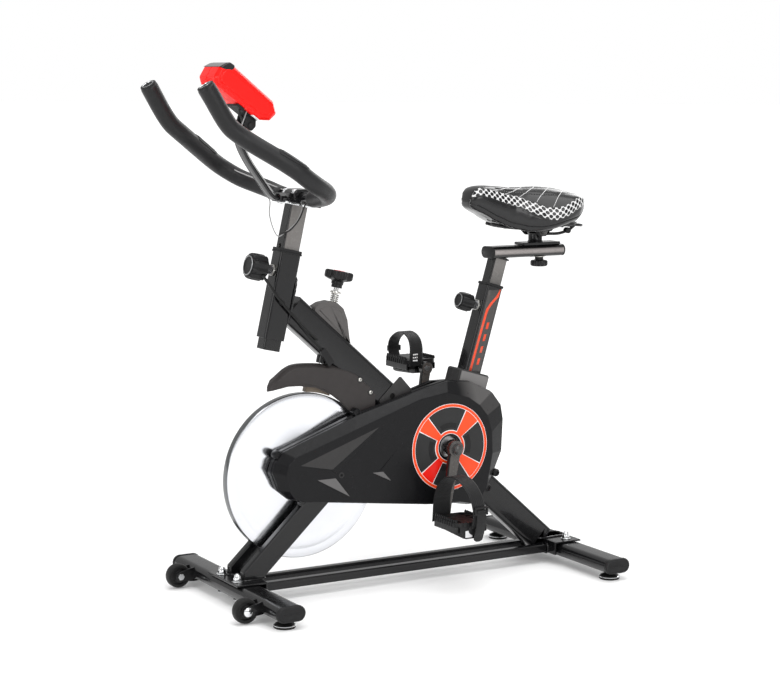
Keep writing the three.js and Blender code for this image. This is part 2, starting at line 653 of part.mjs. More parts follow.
// ---------- fender over the flywheel ----------
// outlines of [y, z]
const FENDER_OUTSIDE = [
  [-65, 428], [-52, 440], [-16, 466], [7, 470], [40, 470], [76, 466], [111, 459],
  [134, 447], [160, 424], [177, 402], [177, 376], [146, 352], [134, 368], [113, 386],
  [88, 404], [55, 419], [18, 427], [-16, 427], [-47, 421],
];
const FENDER_INSIDE = [
  [-60, 420], [-50, 436], [-15, 463], [7, 467.2], [40, 467.2], [75, 463.4], [90, 460],
  [88, 440], [110, 430], [190, 470], [230, 360], [140, 330], [60, 400], [18, 410],
  [-16, 410], [-50, 405],
];
const FENDER_TIP_CUT = [[22, -90], [-40, -90], [-40, -18], [22, -66]];   // [x, y]

function flywheelFender() {
  return biggest(cut(
    sidePrism(FENDER_OUTSIDE, -14, 22),
    sidePrism(FENDER_INSIDE, -11.6, 19.6),
    prism(tubeAt(-60), tubeAt(700), roundRect(TUBE[0] + 1.2, TUBE[1] + 2, 5, 1)),
    axle(FLY_CENTRE, -40, 40, FLY_R + 4, 60),
    sidePrism(inset(GUARD_RIM, -1.6), 10, 60),
    // the tip is cut on a slant, longer on the left
    loft([380, 500].map((z) => FENDER_TIP_CUT.map(([x, y]) => [x, y, z]))),
    // slot round the brake rod
    prism(rodAt(420), rodAt(490), roundRect(27, 36, 2, 1)),
  ));
}
piece('flywheel_fender', flywheelFender(), 'fender');

// ---------- brake ----------
// prism on the brake rod's axis, by distances from the flywheel's centre
const brakePrism = (from, to, points) => prismFrom(FLY_CENTRE, headDir, from, to, points);

// block that follows the rim, clear of it at rest
const brakePad = () => cut(
  brakePrism(166, 188, roundRect(18, 58, 3, 1)),
  axle(FLY_CENTRE, -30, 30, FLY_R + 1.8, 60),
);

const brakeShoe = () => join(
  brakePrism(188.3, 196, roundRect(22, 30, 3, 1)),
  brakePrism(190, 404, polygon(5, 12)),
);

// cover on top of the main tube that guides the rod
function brakeCover() {
  const outline = [                    // [y, z]
    [46, 592], [60, 599], [80, 602], [97, 597], [111, 585], [120, 562], [125, 524],
    [130, 500], [60, 530], [40, 575],
  ];
  return biggest(cut(
    sidePrism(outline, -15, 15),
    prism(tubeAt(-60), tubeAt(700), roundRect(TUBE[0] + 2, TUBE[1] + 0.6, 5, 1)),
    rod(rodAt(540), rodAt(640), 6.8, 8),
    rod(rodAt(474), rodAt(567), 13.6, 8),
  ));
}

// eight-lobed head on a hub
function tensionKnob() {
  const lobes = polar(32, (i, angle) => 27.5 + 2.6 * Math.cos(8 * angle));
  return cut(
    join(brakePrism(408, 424, lobes), brakePrism(389, 409, polygon(11.5, 16))),
    brakePrism(380, 408.5, polygon(5.4, 12)),
  );
}

piece('brake_pad', brakePad(), 'leather');
piece('brake_shoe', brakeShoe(), 'chrome');
piece('brake_cover', brakeCover(), 'grey');
piece('tension_knob', tensionKnob(), 'plastic');

// ---------- handlebar ----------
// five adjustment holes up the front of a post; `below` of them are under the knob
const adjustmentHoles = (postAt, { centre, dir }, pitch, below) => (
  Array.from({ length: 5 }, (_, i) => (
    prismFrom(postAt(centre.z + (i - below) * pitch), dir, 0, 40, polygon(PIN_HOLE_R, 6)))));

const handlebarPost = () => cut(
  prism(headAt(509), headAt(800), grown(HEAD_POST, 0, 4, 1), [grown(HEAD_POST, -4.8, 2.5, 1)]),
  ...adjustmentHoles(headAt, POST_LOCK, 24.6, 2),
);

const postBush = () => prism(
  headAt(HEAD_TOP_Z + 0.4), headAt(HEAD_TOP_Z + 6),
  grown(HEAD_SLEEVE, 2, 6, 2), [grown(HEAD_POST, BUSH_PLAY, 3, 1)],
);

// left half of the bar's centre line, [x, y, z] from the clamp out to the tip
const BAR_PATH = [
  [60, 12.5, 813.5], [95, 15, 817], [126, 11, 823.5], [150, -7, 833], [166, -33, 845],
  [174, -57, 859], [177.5, -77, 872], [174.5, -95, 884], [168, -113, 896],
  [160, -130, 907], [152, -147, 918], [144, -165, 930], [138.5, -183, 942.5],
  [136, -200, 956], [135.5, -213, 972], [135.5, -227, 994], [134.5, -240, 1016],
  [133, -251, 1034],
];
const halfBar = (hand) => BAR_PATH.map(([x, y, z]) => vec(hand * x, y, z));

function sweep(path, points, steps, holes = []) {
  const extrudePath = new THREE.CatmullRomCurve3(path, false, 'centripetal');
  return toSolid(extrude(points, holes, { steps, extrudePath }));
}

const handlebar = () => sweep(
  [...halfBar(-1).reverse(), vec(0, 12, 812.5), ...halfBar(1)], polygon(BAR_R, 6), 36);
const grip = (hand) => sweep(halfBar(hand), polygon(GRIP_R, 10), 18, [polygon(16, 6)]);

// plate on the post with a block round the bar
const barClamp = () => cut(
  join(
    prismFrom(headAt(800.4), headDir, 0, 5, roundRect(56, 88, 4, 1)),
    box(-27, 27, -8, 32, 800, 830),
  ),
  axle({ y: 12.3, z: 812.9 }, -60, 60, BAR_R + 1.3, 20),
  box(-80, 80, -60, 80, 780, 800.2),
  prism(headAt(700), headAt(800.3), roundRect(80, 120, 2, 1)),
);

piece('handlebar_post', handlebarPost(), 'frame');
piece('post_bush', postBush(), 'plastic');
piece('handlebar', handlebar(), 'frame');
for (const hand of HANDS) piece(`grip_${handName(hand)}`, grip(hand), 'foam');
piece('bar_clamp', barClamp(), 'frame');

// ---------- console ----------
const CONSOLE_PIVOT = { y: -101, z: 957 };
// [u, n] to [y, z]: u runs down the screen towards the rear, n stands out of the screen
const CONSOLE_TILT = { cos: 0.806, sin: 0.592 };
const onConsole = ([u, n]) => [
  -153.8 + CONSOLE_TILT.cos * u + CONSOLE_TILT.sin * n,
  1073.4 - CONSOLE_TILT.sin * u + CONSOLE_TILT.cos * n,
];
const consoleBlock = (u0, u1, n0, n1, half) => (
  sidePrism([[u0, n0], [u1, n0], [u1, n1], [u0, n1]].map(onConsole), -half, half));
const BUTTON_U = 96;
const buttonAxisAt = (n) => vec(0, ...onConsole([BUTTON_U, n]));

// bent strip with a foot on the clamp and a barrel at the pivot
function consoleStalk() {
  const path = [                       // [y, z]
    [-24, 812.5], [-46, 816], [-68, 843], [-97, 883], [-115, 916], [-119, 939],
    [-113, 954], [-101, 958],
  ];
  const strip = join(sidePrism(ribbon(path, 3.4), -12, 12), box(-20, 20, -36, -22, 806.4, 822));
  return join(
    cut(strip, prism(headAt(700), headAt(806.2), roundRect(80, 140, 2, 1))),
    axle(CONSOLE_PIVOT, -15, 15, 8, 14),
    axle(CONSOLE_PIVOT, -19.6, 19.6, 3.9, 12),
  );
}

function consoleHousing() {
  const body = [                       // [u, n]
    [-8, -2], [-3, 4], [8, 5], [118, 0], [137, -15], [133, -34], [113, -47], [-2, -47],
    [-14, -37], [-16, -14],
  ].map(onConsole);
  const lug = [
    [90, -46], [113, -46], [121, -58], [119, -70], [106, -73.5], [97, -66],
  ].map(onConsole);
  const face = inset(body, 6);
  return join(
    cut(
      loftAcross([face, -39], [body, -33], [body, 33], [face, 39]),
      consoleBlock(10, 112, -12, 9, 29),
    ),
    ...HANDS.map((hand) => cut(
      sidePrism(lug, ...span(hand, 15.4, 20)),
      axle(CONSOLE_PIVOT, -30, 30, 4.4, 12),
    )),
  );
}

const consoleScreen = () => cut(
  consoleBlock(10.4, 111.6, -11.6, -2.2, 28.6),
  rod(buttonAxisAt(-20), buttonAxisAt(5), 9.4, 16),
);

function consoleButton() {
  const profile = [[0, -9], [8.8, -9], [8.8, 0], [7, 1.4], [0, 1.6]];   // [radius, n]
  const axis = vec(0, CONSOLE_TILT.sin, CONSOLE_TILT.cos).normalize();
  return turned(profile, buttonAxisAt(0), axis, 16);
}

piece('console_stalk', consoleStalk(), 'frame');
piece('console_housing', consoleHousing(), 'red');
piece('console_screen', consoleScreen(), 'plastic');
piece('console_button', consoleButton(), 'rubber');

// ---------- locking knobs ----------
// ribbed head with a button end, on a pin
function lockingKnob({ centre, dir, base, neck, headRadius, headLength }) {
  const ribCount = 9, ribHalfAngle = 0.09, ribDepth = 2, pinR = 4.6, pinReach = 3.2;
  const ribs = Array.from({ length: ribCount * 2 }, (_, i) => {
    const radius = i % 2 ? headRadius : headRadius - ribDepth;
    return arc([0, 0], radius, (i * Math.PI) / ribCount - ribHalfAngle, 2 * ribHalfAngle, 1);
  }).flat();
  const start = offset(centre, dir, base), end = neck + headLength;
  return join(
    prismFrom(start, dir, neck + GAP, end - 4, ribs),
    rodFrom(start, dir, end - 5, end, headRadius - 4, 14),
    rodFrom(start, dir, -pinReach, neck + 5, pinR, 12),
  );
}
for (const lock of LOCKS) piece(lock.name, lockingKnob(lock), 'plastic');

// ---------- seat post and slider ----------
const SLIDE_W = 50, SLIDE_H = 25, SLIDE_Z = 684.5;   // flat oval cross tube, lying fore-aft
const SLIDE_TOP = SLIDE_Z + SLIDE_H / 2;
const SADDLE_BOLT = { y: 590, z: 728 };
const SLIDER_KNOB_Y = 601;

function seatPost() {
  const post = cut(
    prism(seatAt(424), seatAt(676), grown(SEAT_POST, 0, 4, 1), [grown(SEAT_POST, -4.4, 2.5, 1)]),
    ...adjustmentHoles(seatAt, SEAT_LOCK, 28, 3),
    box(-40, 40, 400, 560, 674, 720),
  );
  const cross = prism(
    vec(0, 471, SLIDE_Z), vec(0, 650, SLIDE_Z),
    roundRect(SLIDE_W, SLIDE_H, 12.4, 4), [roundRect(SLIDE_W - 5, SLIDE_H - 5, 9.9, 3)],
  );
  // slot for the slider knob, through the bottom and top walls
  return join(post, cut(cross, box(-6, 6, 536, 620, 660, 710)));
}

const seatBush = () => prism(
  seatAt(SEAT_TOP_Z + 0.4), seatAt(SEAT_TOP_Z + 5.4),
  grown(SEAT_SLEEVE, 3, 5, 2), [grown(SEAT_POST, BUSH_PLAY, 3, 1)],
);

// slides on the cross tube and carries the saddle's clamp bolt
const saddleCarriage = () => cut(
  join(
    box(-20, 20, 548, 644, SLIDE_TOP + 0.4, SLIDE_TOP + 6),
    upright(0, SADDLE_BOLT.y, SLIDE_TOP + 2, SLIDE_TOP + 26, 11, 16),
    axle(SADDLE_BOLT, -24, 24, 10, 16),
    axle(SADDLE_BOLT, -33, 33, 3.9, 12),
    upright(0, SADDLE_BOLT.y, SLIDE_TOP + 7, 726, 15, 16),
  ),
  upright(0, SLIDER_KNOB_Y, 690, 700, 4.4, 12),
);

// clamp knob under the cross tube
function sliderKnob() {
  const star = polar(24, (i) => (i % 2 ? 18.6 : 17));
  return join(
    prism(vec(0, SLIDER_KNOB_Y, 650), vec(0, SLIDER_KNOB_Y, 663), star),
    upright(0, SLIDER_KNOB_Y, 662, 671.4, 9, 14),
    upright(0, SLIDER_KNOB_Y, 670, 699, 4, 12),
  );
}

piece('seat_post', seatPost(), 'frame');
piece('seat_bush', seatBush(), 'plastic');
piece('saddle_carriage', saddleCarriage(), 'frame');
piece('slider_knob', sliderKnob(), 'plastic');

// ---------- saddle ----------
// left halves of the outlines seen from above, [x, y] from nose to tail
const PAN_HALF = [[28, 508], [38, 522], [52, 546], [72, 580], [80, 612], [72, 646], [46, 670]];
const CUSHION_HALF = [
  [26, 416], [33, 440], [38, 475], [45, 512], [60, 542], [80, 572], [90, 600], [91, 625],
  [80, 652], [58, 672], [30, 688],
];

function saddlePan() {
  const ring = (z, scale, shift) => (
    mirrored(PAN_HALF).map(([x, y]) => [x * scale, 575 + (y - 575) * scale + shift, z]));
  // cheeks that hang from the pan on the two ends of the clamp bolt
  const outline = [[560, 743], [576, 722], [582, 717], [598, 717], [604, 722], [620, 743]];
  const cheek = (hand) => cut(
    sidePrism(outline, ...span(hand, 24.6, 29)),
    axle(SADDLE_BOLT, -40, 40, 4.4, 12),
  );
  return join(
    loft([ring(739.6, 0.8, 4), ring(742, 0.96, 0), ring(746, 0.98, 0)]),
    ...HANDS.map(cheek),
  );
}

function saddleCushion() {
  const noseY = 530;                   // the nose is everything in front of this
  const underside = (y) => 754 + (y < noseY ? 0.2 * (noseY - y) : 0);
  const top = (y) => 824 - (y < 470 ? (470 - y) * 0.28 : 0) - (y > 620 ? (y - 620) * 0.22 : 0);
  const drawBack = (y) => (y < noseY ? 505 + ((y - 416) * 25) / 114 : y);
  // each ring shrinks in y by half as much as in x
  const ring = (scale, heightAt) => mirrored(CUSHION_HALF).map(([x, y]) => (
    [x * scale, 568 + (y - 568) * (scale * 0.5 + 0.5), heightAt(y)]));
  return loft([
    ring(0.94, () => 746.4).map(([x, y, z]) => [x, drawBack(y), z]),
    ring(1, underside),
    ring(1, (y) => top(y) - 26),
    ring(0.86, (y) => top(y) - 8),
    ring(0.55, top),
  ]);
}

piece('saddle_pan', saddlePan(), 'plastic');
piece('saddle_cushion', saddleCushion(), 'leather');

// move the origin to the middle of the bike's length
bike.children.forEach((mesh) => mesh.geometry.translate(0, -CENTRE_Y, 0));

export default bike;
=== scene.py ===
import bpy, bmesh, json, math, random
import numpy as np
from mathutils import Vector, Matrix
from mathutils.bvhtree import BVHTree

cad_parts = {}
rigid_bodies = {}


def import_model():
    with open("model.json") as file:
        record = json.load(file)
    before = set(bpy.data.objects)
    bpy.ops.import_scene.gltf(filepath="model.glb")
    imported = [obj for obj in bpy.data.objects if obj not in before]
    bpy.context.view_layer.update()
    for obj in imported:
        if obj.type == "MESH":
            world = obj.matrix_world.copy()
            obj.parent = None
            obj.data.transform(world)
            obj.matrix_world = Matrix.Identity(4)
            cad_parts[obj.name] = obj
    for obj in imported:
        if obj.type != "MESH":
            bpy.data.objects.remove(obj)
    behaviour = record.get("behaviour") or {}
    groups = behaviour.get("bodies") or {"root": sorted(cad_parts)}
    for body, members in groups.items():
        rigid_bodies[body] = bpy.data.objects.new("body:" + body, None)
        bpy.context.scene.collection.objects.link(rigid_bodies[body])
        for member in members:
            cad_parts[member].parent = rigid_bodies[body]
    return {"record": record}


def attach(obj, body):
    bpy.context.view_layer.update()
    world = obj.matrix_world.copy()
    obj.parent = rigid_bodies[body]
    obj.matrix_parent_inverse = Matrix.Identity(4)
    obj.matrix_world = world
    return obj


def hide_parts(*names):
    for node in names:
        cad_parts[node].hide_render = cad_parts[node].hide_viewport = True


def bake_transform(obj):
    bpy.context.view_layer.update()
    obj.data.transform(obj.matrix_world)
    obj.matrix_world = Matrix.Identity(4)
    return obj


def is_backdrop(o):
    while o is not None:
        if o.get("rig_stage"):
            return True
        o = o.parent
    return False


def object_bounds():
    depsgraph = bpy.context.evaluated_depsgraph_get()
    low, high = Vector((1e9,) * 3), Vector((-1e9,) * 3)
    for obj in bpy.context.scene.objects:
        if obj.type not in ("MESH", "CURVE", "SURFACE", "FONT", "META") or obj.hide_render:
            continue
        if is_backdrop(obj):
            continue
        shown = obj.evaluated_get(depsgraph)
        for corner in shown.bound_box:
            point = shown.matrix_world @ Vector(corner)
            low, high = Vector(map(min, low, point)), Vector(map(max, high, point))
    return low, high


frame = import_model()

START = [list(map(float, v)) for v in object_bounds()]
NODE_SLOT = {d["node"]: d["material_slot"] for d in frame["record"]["subparts"]}
OY = 211.0                      # the drawing datum is 211 mm ahead of the row origin
rng = random.Random(7)

# ------------------------------------------------------------------ helpers
def M(p):
    """drawing millimetres to metres in the row frame"""
    return (p[0] / 1000.0, (p[1] - OY) / 1000.0, p[2] / 1000.0)

def unit(v):
    return Vector(v).normalized()

LEAN_H, LEAN_S = math.atan(.2217), math.atan(.294)
HD = Vector((0, math.sin(LEAN_H), math.cos(LEAN_H))); HF = Vector((0, -math.cos(LEAN_H), math.sin(LEAN_H)))
SD = Vector((0, math.sin(LEAN_S), math.cos(LEAN_S))); SF = Vector((0, -math.cos(LEAN_S), math.sin(LEAN_S)))
def headAt(z): return Vector((0, -14.2 + .2217 * (z - 693), z))
def seatAt(z): return Vector((0, 474.5 + .294 * (z - 606), z))
def tubeAt(y): return Vector((0, y, 607.5 - .878 * (y + 26.8)))
def rodAt(z): return Vector((0, 17 + .2217 * (z - 247), z))

def finish_mesh(ob, bevel=0, seg=2, sharp=35, subsurf=0, limit=32):
    me = ob.data
    me.set_sharp_from_angle(angle=math.radians(sharp))
    for p in me.polygons: p.use_smooth = True
    if bevel:
        b = ob.modifiers.new("bevel", "BEVEL")
        b.width, b.segments, b.limit_method, b.angle_limit = bevel / 1000.0, seg, "ANGLE", math.radians(limit)
        b.harden_normals = False
        b.use_clamp_overlap = True
        w = ob.modifiers.new("wn", "WEIGHTED_NORMAL"); w.keep_sharp = False; w.weight = 60
    if subsurf:
        s = ob.modifiers.new("sub", "SUBSURF"); s.levels = s.render_levels = subsurf
    return ob

def add(name, verts, faces, mat, body, mm=True, bevel=0, seg=2, sharp=35, subsurf=0, limit=32, slot=None, merge=True):
    me = bpy.data.meshes.new(name)
    me.from_pydata([M(v) for v in verts] if mm else [tuple(v) for v in verts], [], [list(f) for f in faces])
    me.validate()
    bm = bmesh.new(); bm.from_mesh(me)
    if merge: bmesh.ops.remove_doubles(bm, verts=bm.verts, dist=1e-6)
    bmesh.ops.recalc_face_normals(bm, faces=bm.faces)
    bm.to_mesh(me); bm.free()
    ob = bpy.data.objects.new(name, me)
    bpy.context.scene.collection.objects.link(ob)
    if mat is not None: me.materials.append(getattr(mat, "m", mat))
    finish_mesh(ob, bevel, seg, sharp, subsurf, limit)
    if body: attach(ob, body)
    return ob

def joined(*parts):
    """several (verts, faces) as one"""
    V, F = [], []
    for v, f in parts:
        n = len(V); V += list(v); F += [[i + n for i in g] for g in f]
    return V, F

def rr(w, h, r, seg=5):
    """rounded rectangle"""
    pts = []
    r = min(r, w / 2 - 1e-3, h / 2 - 1e-3)
    for cx, cy, a0 in ((w / 2 - r, h / 2 - r, 0), (-w / 2 + r, h / 2 - r, 90), (-w / 2 + r, -h / 2 + r, 180), (w / 2 - r, -h / 2 + r, 270)):
        for i in range(seg + 1):
            a = math.radians(a0 + 90 * i / seg)
            pts.append((cx + r * math.cos(a), cy + r * math.sin(a)))
    return pts

def circ(r, n=32, ph=0):
    return [(r * math.cos(2 * math.pi * i / n + ph), r * math.sin(2 * math.pi * i / n + ph)) for i in range(n)]

def loft(rings, cap0=True, cap1=True, closed=True):
    n = len(rings[0]); V = [tuple(p) for r in rings for p in r]; F = []
    for k in range(len(rings) - 1):
        for i in range(n if closed else n - 1):
            j = (i + 1) % n
            F.append([k * n + i, k * n + j, (k + 1) * n + j, (k + 1) * n + i])
    if cap0: F.append(list(range(n))[::-1])
    if cap1: F.append([(len(rings) - 1) * n + i for i in range(n)])
    return V, F

def frame_of(d, up=None):
    d = unit(d)
    u = Vector((1, 0, 0)) if abs(d.x) < .9 else Vector((0, 1, 0))
    u = (u - d * u.dot(d)).normalized()
    return u, d.cross(u)

def along(a, b, prof, inner=None, rings=None, cap=True):
    """2-D profile from a to b; u is +X (or +Y for a cross tube)"""
    a, b = Vector(a), Vector(b); u, v = frame_of(b - a)
    at = lambda c, pts: [tuple(c + u * p[0] + v * p[1]) for p in pts]
    if inner is None:
        return loft([at(a, prof), at(b, prof)], cap, cap)
    return loft([at(a, prof), at(b, prof), at(b, inner), at(a, inner), at(a, prof)], False, False)

def shell(name, outline_pairs, mat, body, **k):
    return add(name, *joined(*outline_pairs), mat, body, **k)

def turned(c, axis, prof, n=48, closed=False):
    """prof: list of (radius, offset along axis)"""
    c = Vector(c); u, v = frame_of(axis); d = unit(axis)
    V, F = [], []; idx = []
    for r, t in prof:
        if r < 1e-6:
            V.append(tuple(c + d * t)); idx.append([len(V) - 1])
        else:
            ring = []
            for i in range(n):
                a = 2 * math.pi * i / n
                V.append(tuple(c + d * t + u * (r * math.cos(a)) + v * (r * math.sin(a)))); ring.append(len(V) - 1)
            idx.append(ring)
    pairs = list(zip(idx, idx[1:])) + ([(idx[-1], idx[0])] if closed else [])
    for A, B in pairs:
        for i in range(n):
            j = (i + 1) % n
            if len(A) == 1 and len(B) == 1: continue
            if len(A) == 1: F.append([A[0], B[j], B[i]])
            elif len(B) == 1: F.append([A[i], A[j], B[0]])
            else: F.append([A[i], A[j], B[j], B[i]])
    return V, F

def sweep(path, prof_or_r, n=20, cap=True, up=None, closed=False):
    """round (radius) or profile sweep along a smooth path of 3-D mm points; radius may be a list"""
    P = [Vector(p) for p in path]; rings = []; prev = None
    for i, p in enumerate(P):
        t = (P[(i + 1) % len(P)] - P[i - 1]) if (closed or 0 < i < len(P) - 1) else ((P[1] - P[0]) if i == 0 else (P[-1] - P[-2]))
        t.normalize()
        if prev is None:
            u = (Vector(up) if up else (Vector((1, 0, 0)) if abs(t.x) < .9 else Vector((0, 1, 0))))
        else: u = prev
        u = (u - t * u.dot(t)).normalized(); prev = u; v = t.cross(u)
        if isinstance(prof_or_r, (int, float)) or (isinstance(prof_or_r, list) and not isinstance(prof_or_r[0], (tuple, list))):
            r = prof_or_r[i] if isinstance(prof_or_r, list) else prof_or_r
            pts = circ(r, n)
        else: pts = prof_or_r(i / (len(P) - 1)) if callable(prof_or_r) else prof_or_r
        rings.append([tuple(p + u * q[0] + v * q[1]) for q in pts])
    if closed: rings.append(rings[0]); return loft(rings, False, False)
    return loft(rings, cap, cap)

def spline(pts, n=8, closed=False):
    """Catmull-Rom through the points"""
    P = [Vector(p) for p in pts]; out = []
    N = len(P)
    for i in range(N if closed else N - 1):
        p0 = P[(i - 1) % N] if closed or i > 0 else P[0] * 2 - P[1]
        p1, p2 = P[i], P[(i + 1) % N]
        p3 = P[(i + 2) % N] if closed or i < N - 2 else P[-1] * 2 - P[-2]
        for k in range(n):
            t = k / n
            out.append(0.5 * ((2 * p1) + (-p0 + p2) * t + (2 * p0 - 5 * p1 + 4 * p2 - p3) * t * t + (-p0 + 3 * p1 - 3 * p2 + p3) * t ** 3))
    if not closed: out.append(P[-1])
    return out

def prism(pts, x0, x1):
    """side outline (y, z) extruded in X"""
    return loft([[(x0, p[0], p[1]) for p in pts], [(x1, p[0], p[1]) for p in pts]])

def box(x0, x1, y0, y1, z0, z1):
    return prism([(y0, z0), (y1, z0), (y1, z1), (y0, z1)], x0, x1)

def inset2(pts, d):
    """offset of a closed outline towards its inside"""
    n = len(pts); A = sum(pts[i][0] * pts[(i + 1) % n][1] - pts[(i + 1) % n][0] * pts[i][1] for i in range(n)); s = 1 if A > 0 else -1
    out = []
    for i in range(n):
        p0, p1, p2 = (Vector(pts[i - 1]), Vector(pts[i]), Vector(pts[(i + 1) % n]))
        e0, e1 = (p1 - p0).normalized(), (p2 - p1).normalized()
        n0, n1 = Vector((-e0.y, e0.x)) * s, Vector((-e1.y, e1.x)) * s
        b = (n0 + n1).normalized(); k = max(.45, b.dot(n0))
        out.append(tuple(p1 + b * (d / k)))
    return out

def smooth_closed(pts, n=5):
    return [(p.x, p.y) for p in (Vector((q[0], q[1], 0)) for q in pts) for p in [p]] if n < 2 else [(v.x, v.y) for v in spline([(p[0], p[1], 0) for p in pts], n, True)]

def round_poly(pts, r, n=5):
    """corners of a closed outline rounded with radius about r"""
    out = []; N = len(pts)
    for i in range(N):
        p0, p1, p2 = Vector(pts[i - 1]), Vector(pts[i]), Vector(pts[(i + 1) % N])
        a, b = (p0 - p1), (p2 - p1); la, lb = a.length, b.length; a.normalize(); b.normalize()
        ang = math.acos(max(-1, min(1, a.dot(b))))
        d = min(r / max(math.tan(ang / 2), 1e-3), la * .48, lb * .48)
        s, e = p1 + a * d, p1 + b * d
        for k in range(n + 1):
            t = k / n
            out.append(tuple(s * (1 - t) ** 2 + p1 * 2 * t * (1 - t) + e * t * t))
    return out

def cutter(ob, V, F, name="cut"):
    """boolean difference, applied at once"""
    me = bpy.data.meshes.new(name); me.from_pydata([M(v) for v in V], [], [list(f) for f in F])
    bm = bmesh.new(); bm.from_mesh(me); bmesh.ops.remove_doubles(bm, verts=bm.verts, dist=1e-6)
    bmesh.ops.recalc_face_normals(bm, faces=bm.faces); bm.to_mesh(me); bm.free()
    c = bpy.data.objects.new(name, me); bpy.context.scene.collection.objects.link(c)
    saved = [(m.name, m.type) for m in ob.modifiers]
    m = ob.modifiers.new("b", "BOOLEAN"); m.operation = "DIFFERENCE"; m.object = c; m.solver = "EXACT"
    # boolean goes first
    ob.modifiers.move(len(ob.modifiers) - 1, 0)
    for k in ob.modifiers:
        if k != m: k.show_viewport = False
    dg = bpy.context.evaluated_depsgraph_get(); bpy.context.view_layer.update()
    new = bpy.data.meshes.new_from_object(ob.evaluated_get(dg), depsgraph=dg)
    ob.modifiers.remove(m)
    for k in ob.modifiers: k.show_viewport = True
    if len(new.polygons) < 4: print("cut lost its mesh:", ob.name)
    ob.data = new
    new.set_sharp_from_angle(angle=math.radians(35))
    for p in new.polygons: p.use_smooth = True
    bpy.data.objects.remove(c)
    return ob

# ------------------------------------------------------------------ materials
def srgb(r, g, b):
    f = lambda c: (c / 255.0 / 12.92) if c / 255.0 <= .04045 else ((c / 255.0 + .055) / 1.055) ** 2.4
    return (f(r), f(g), f(b), 1)

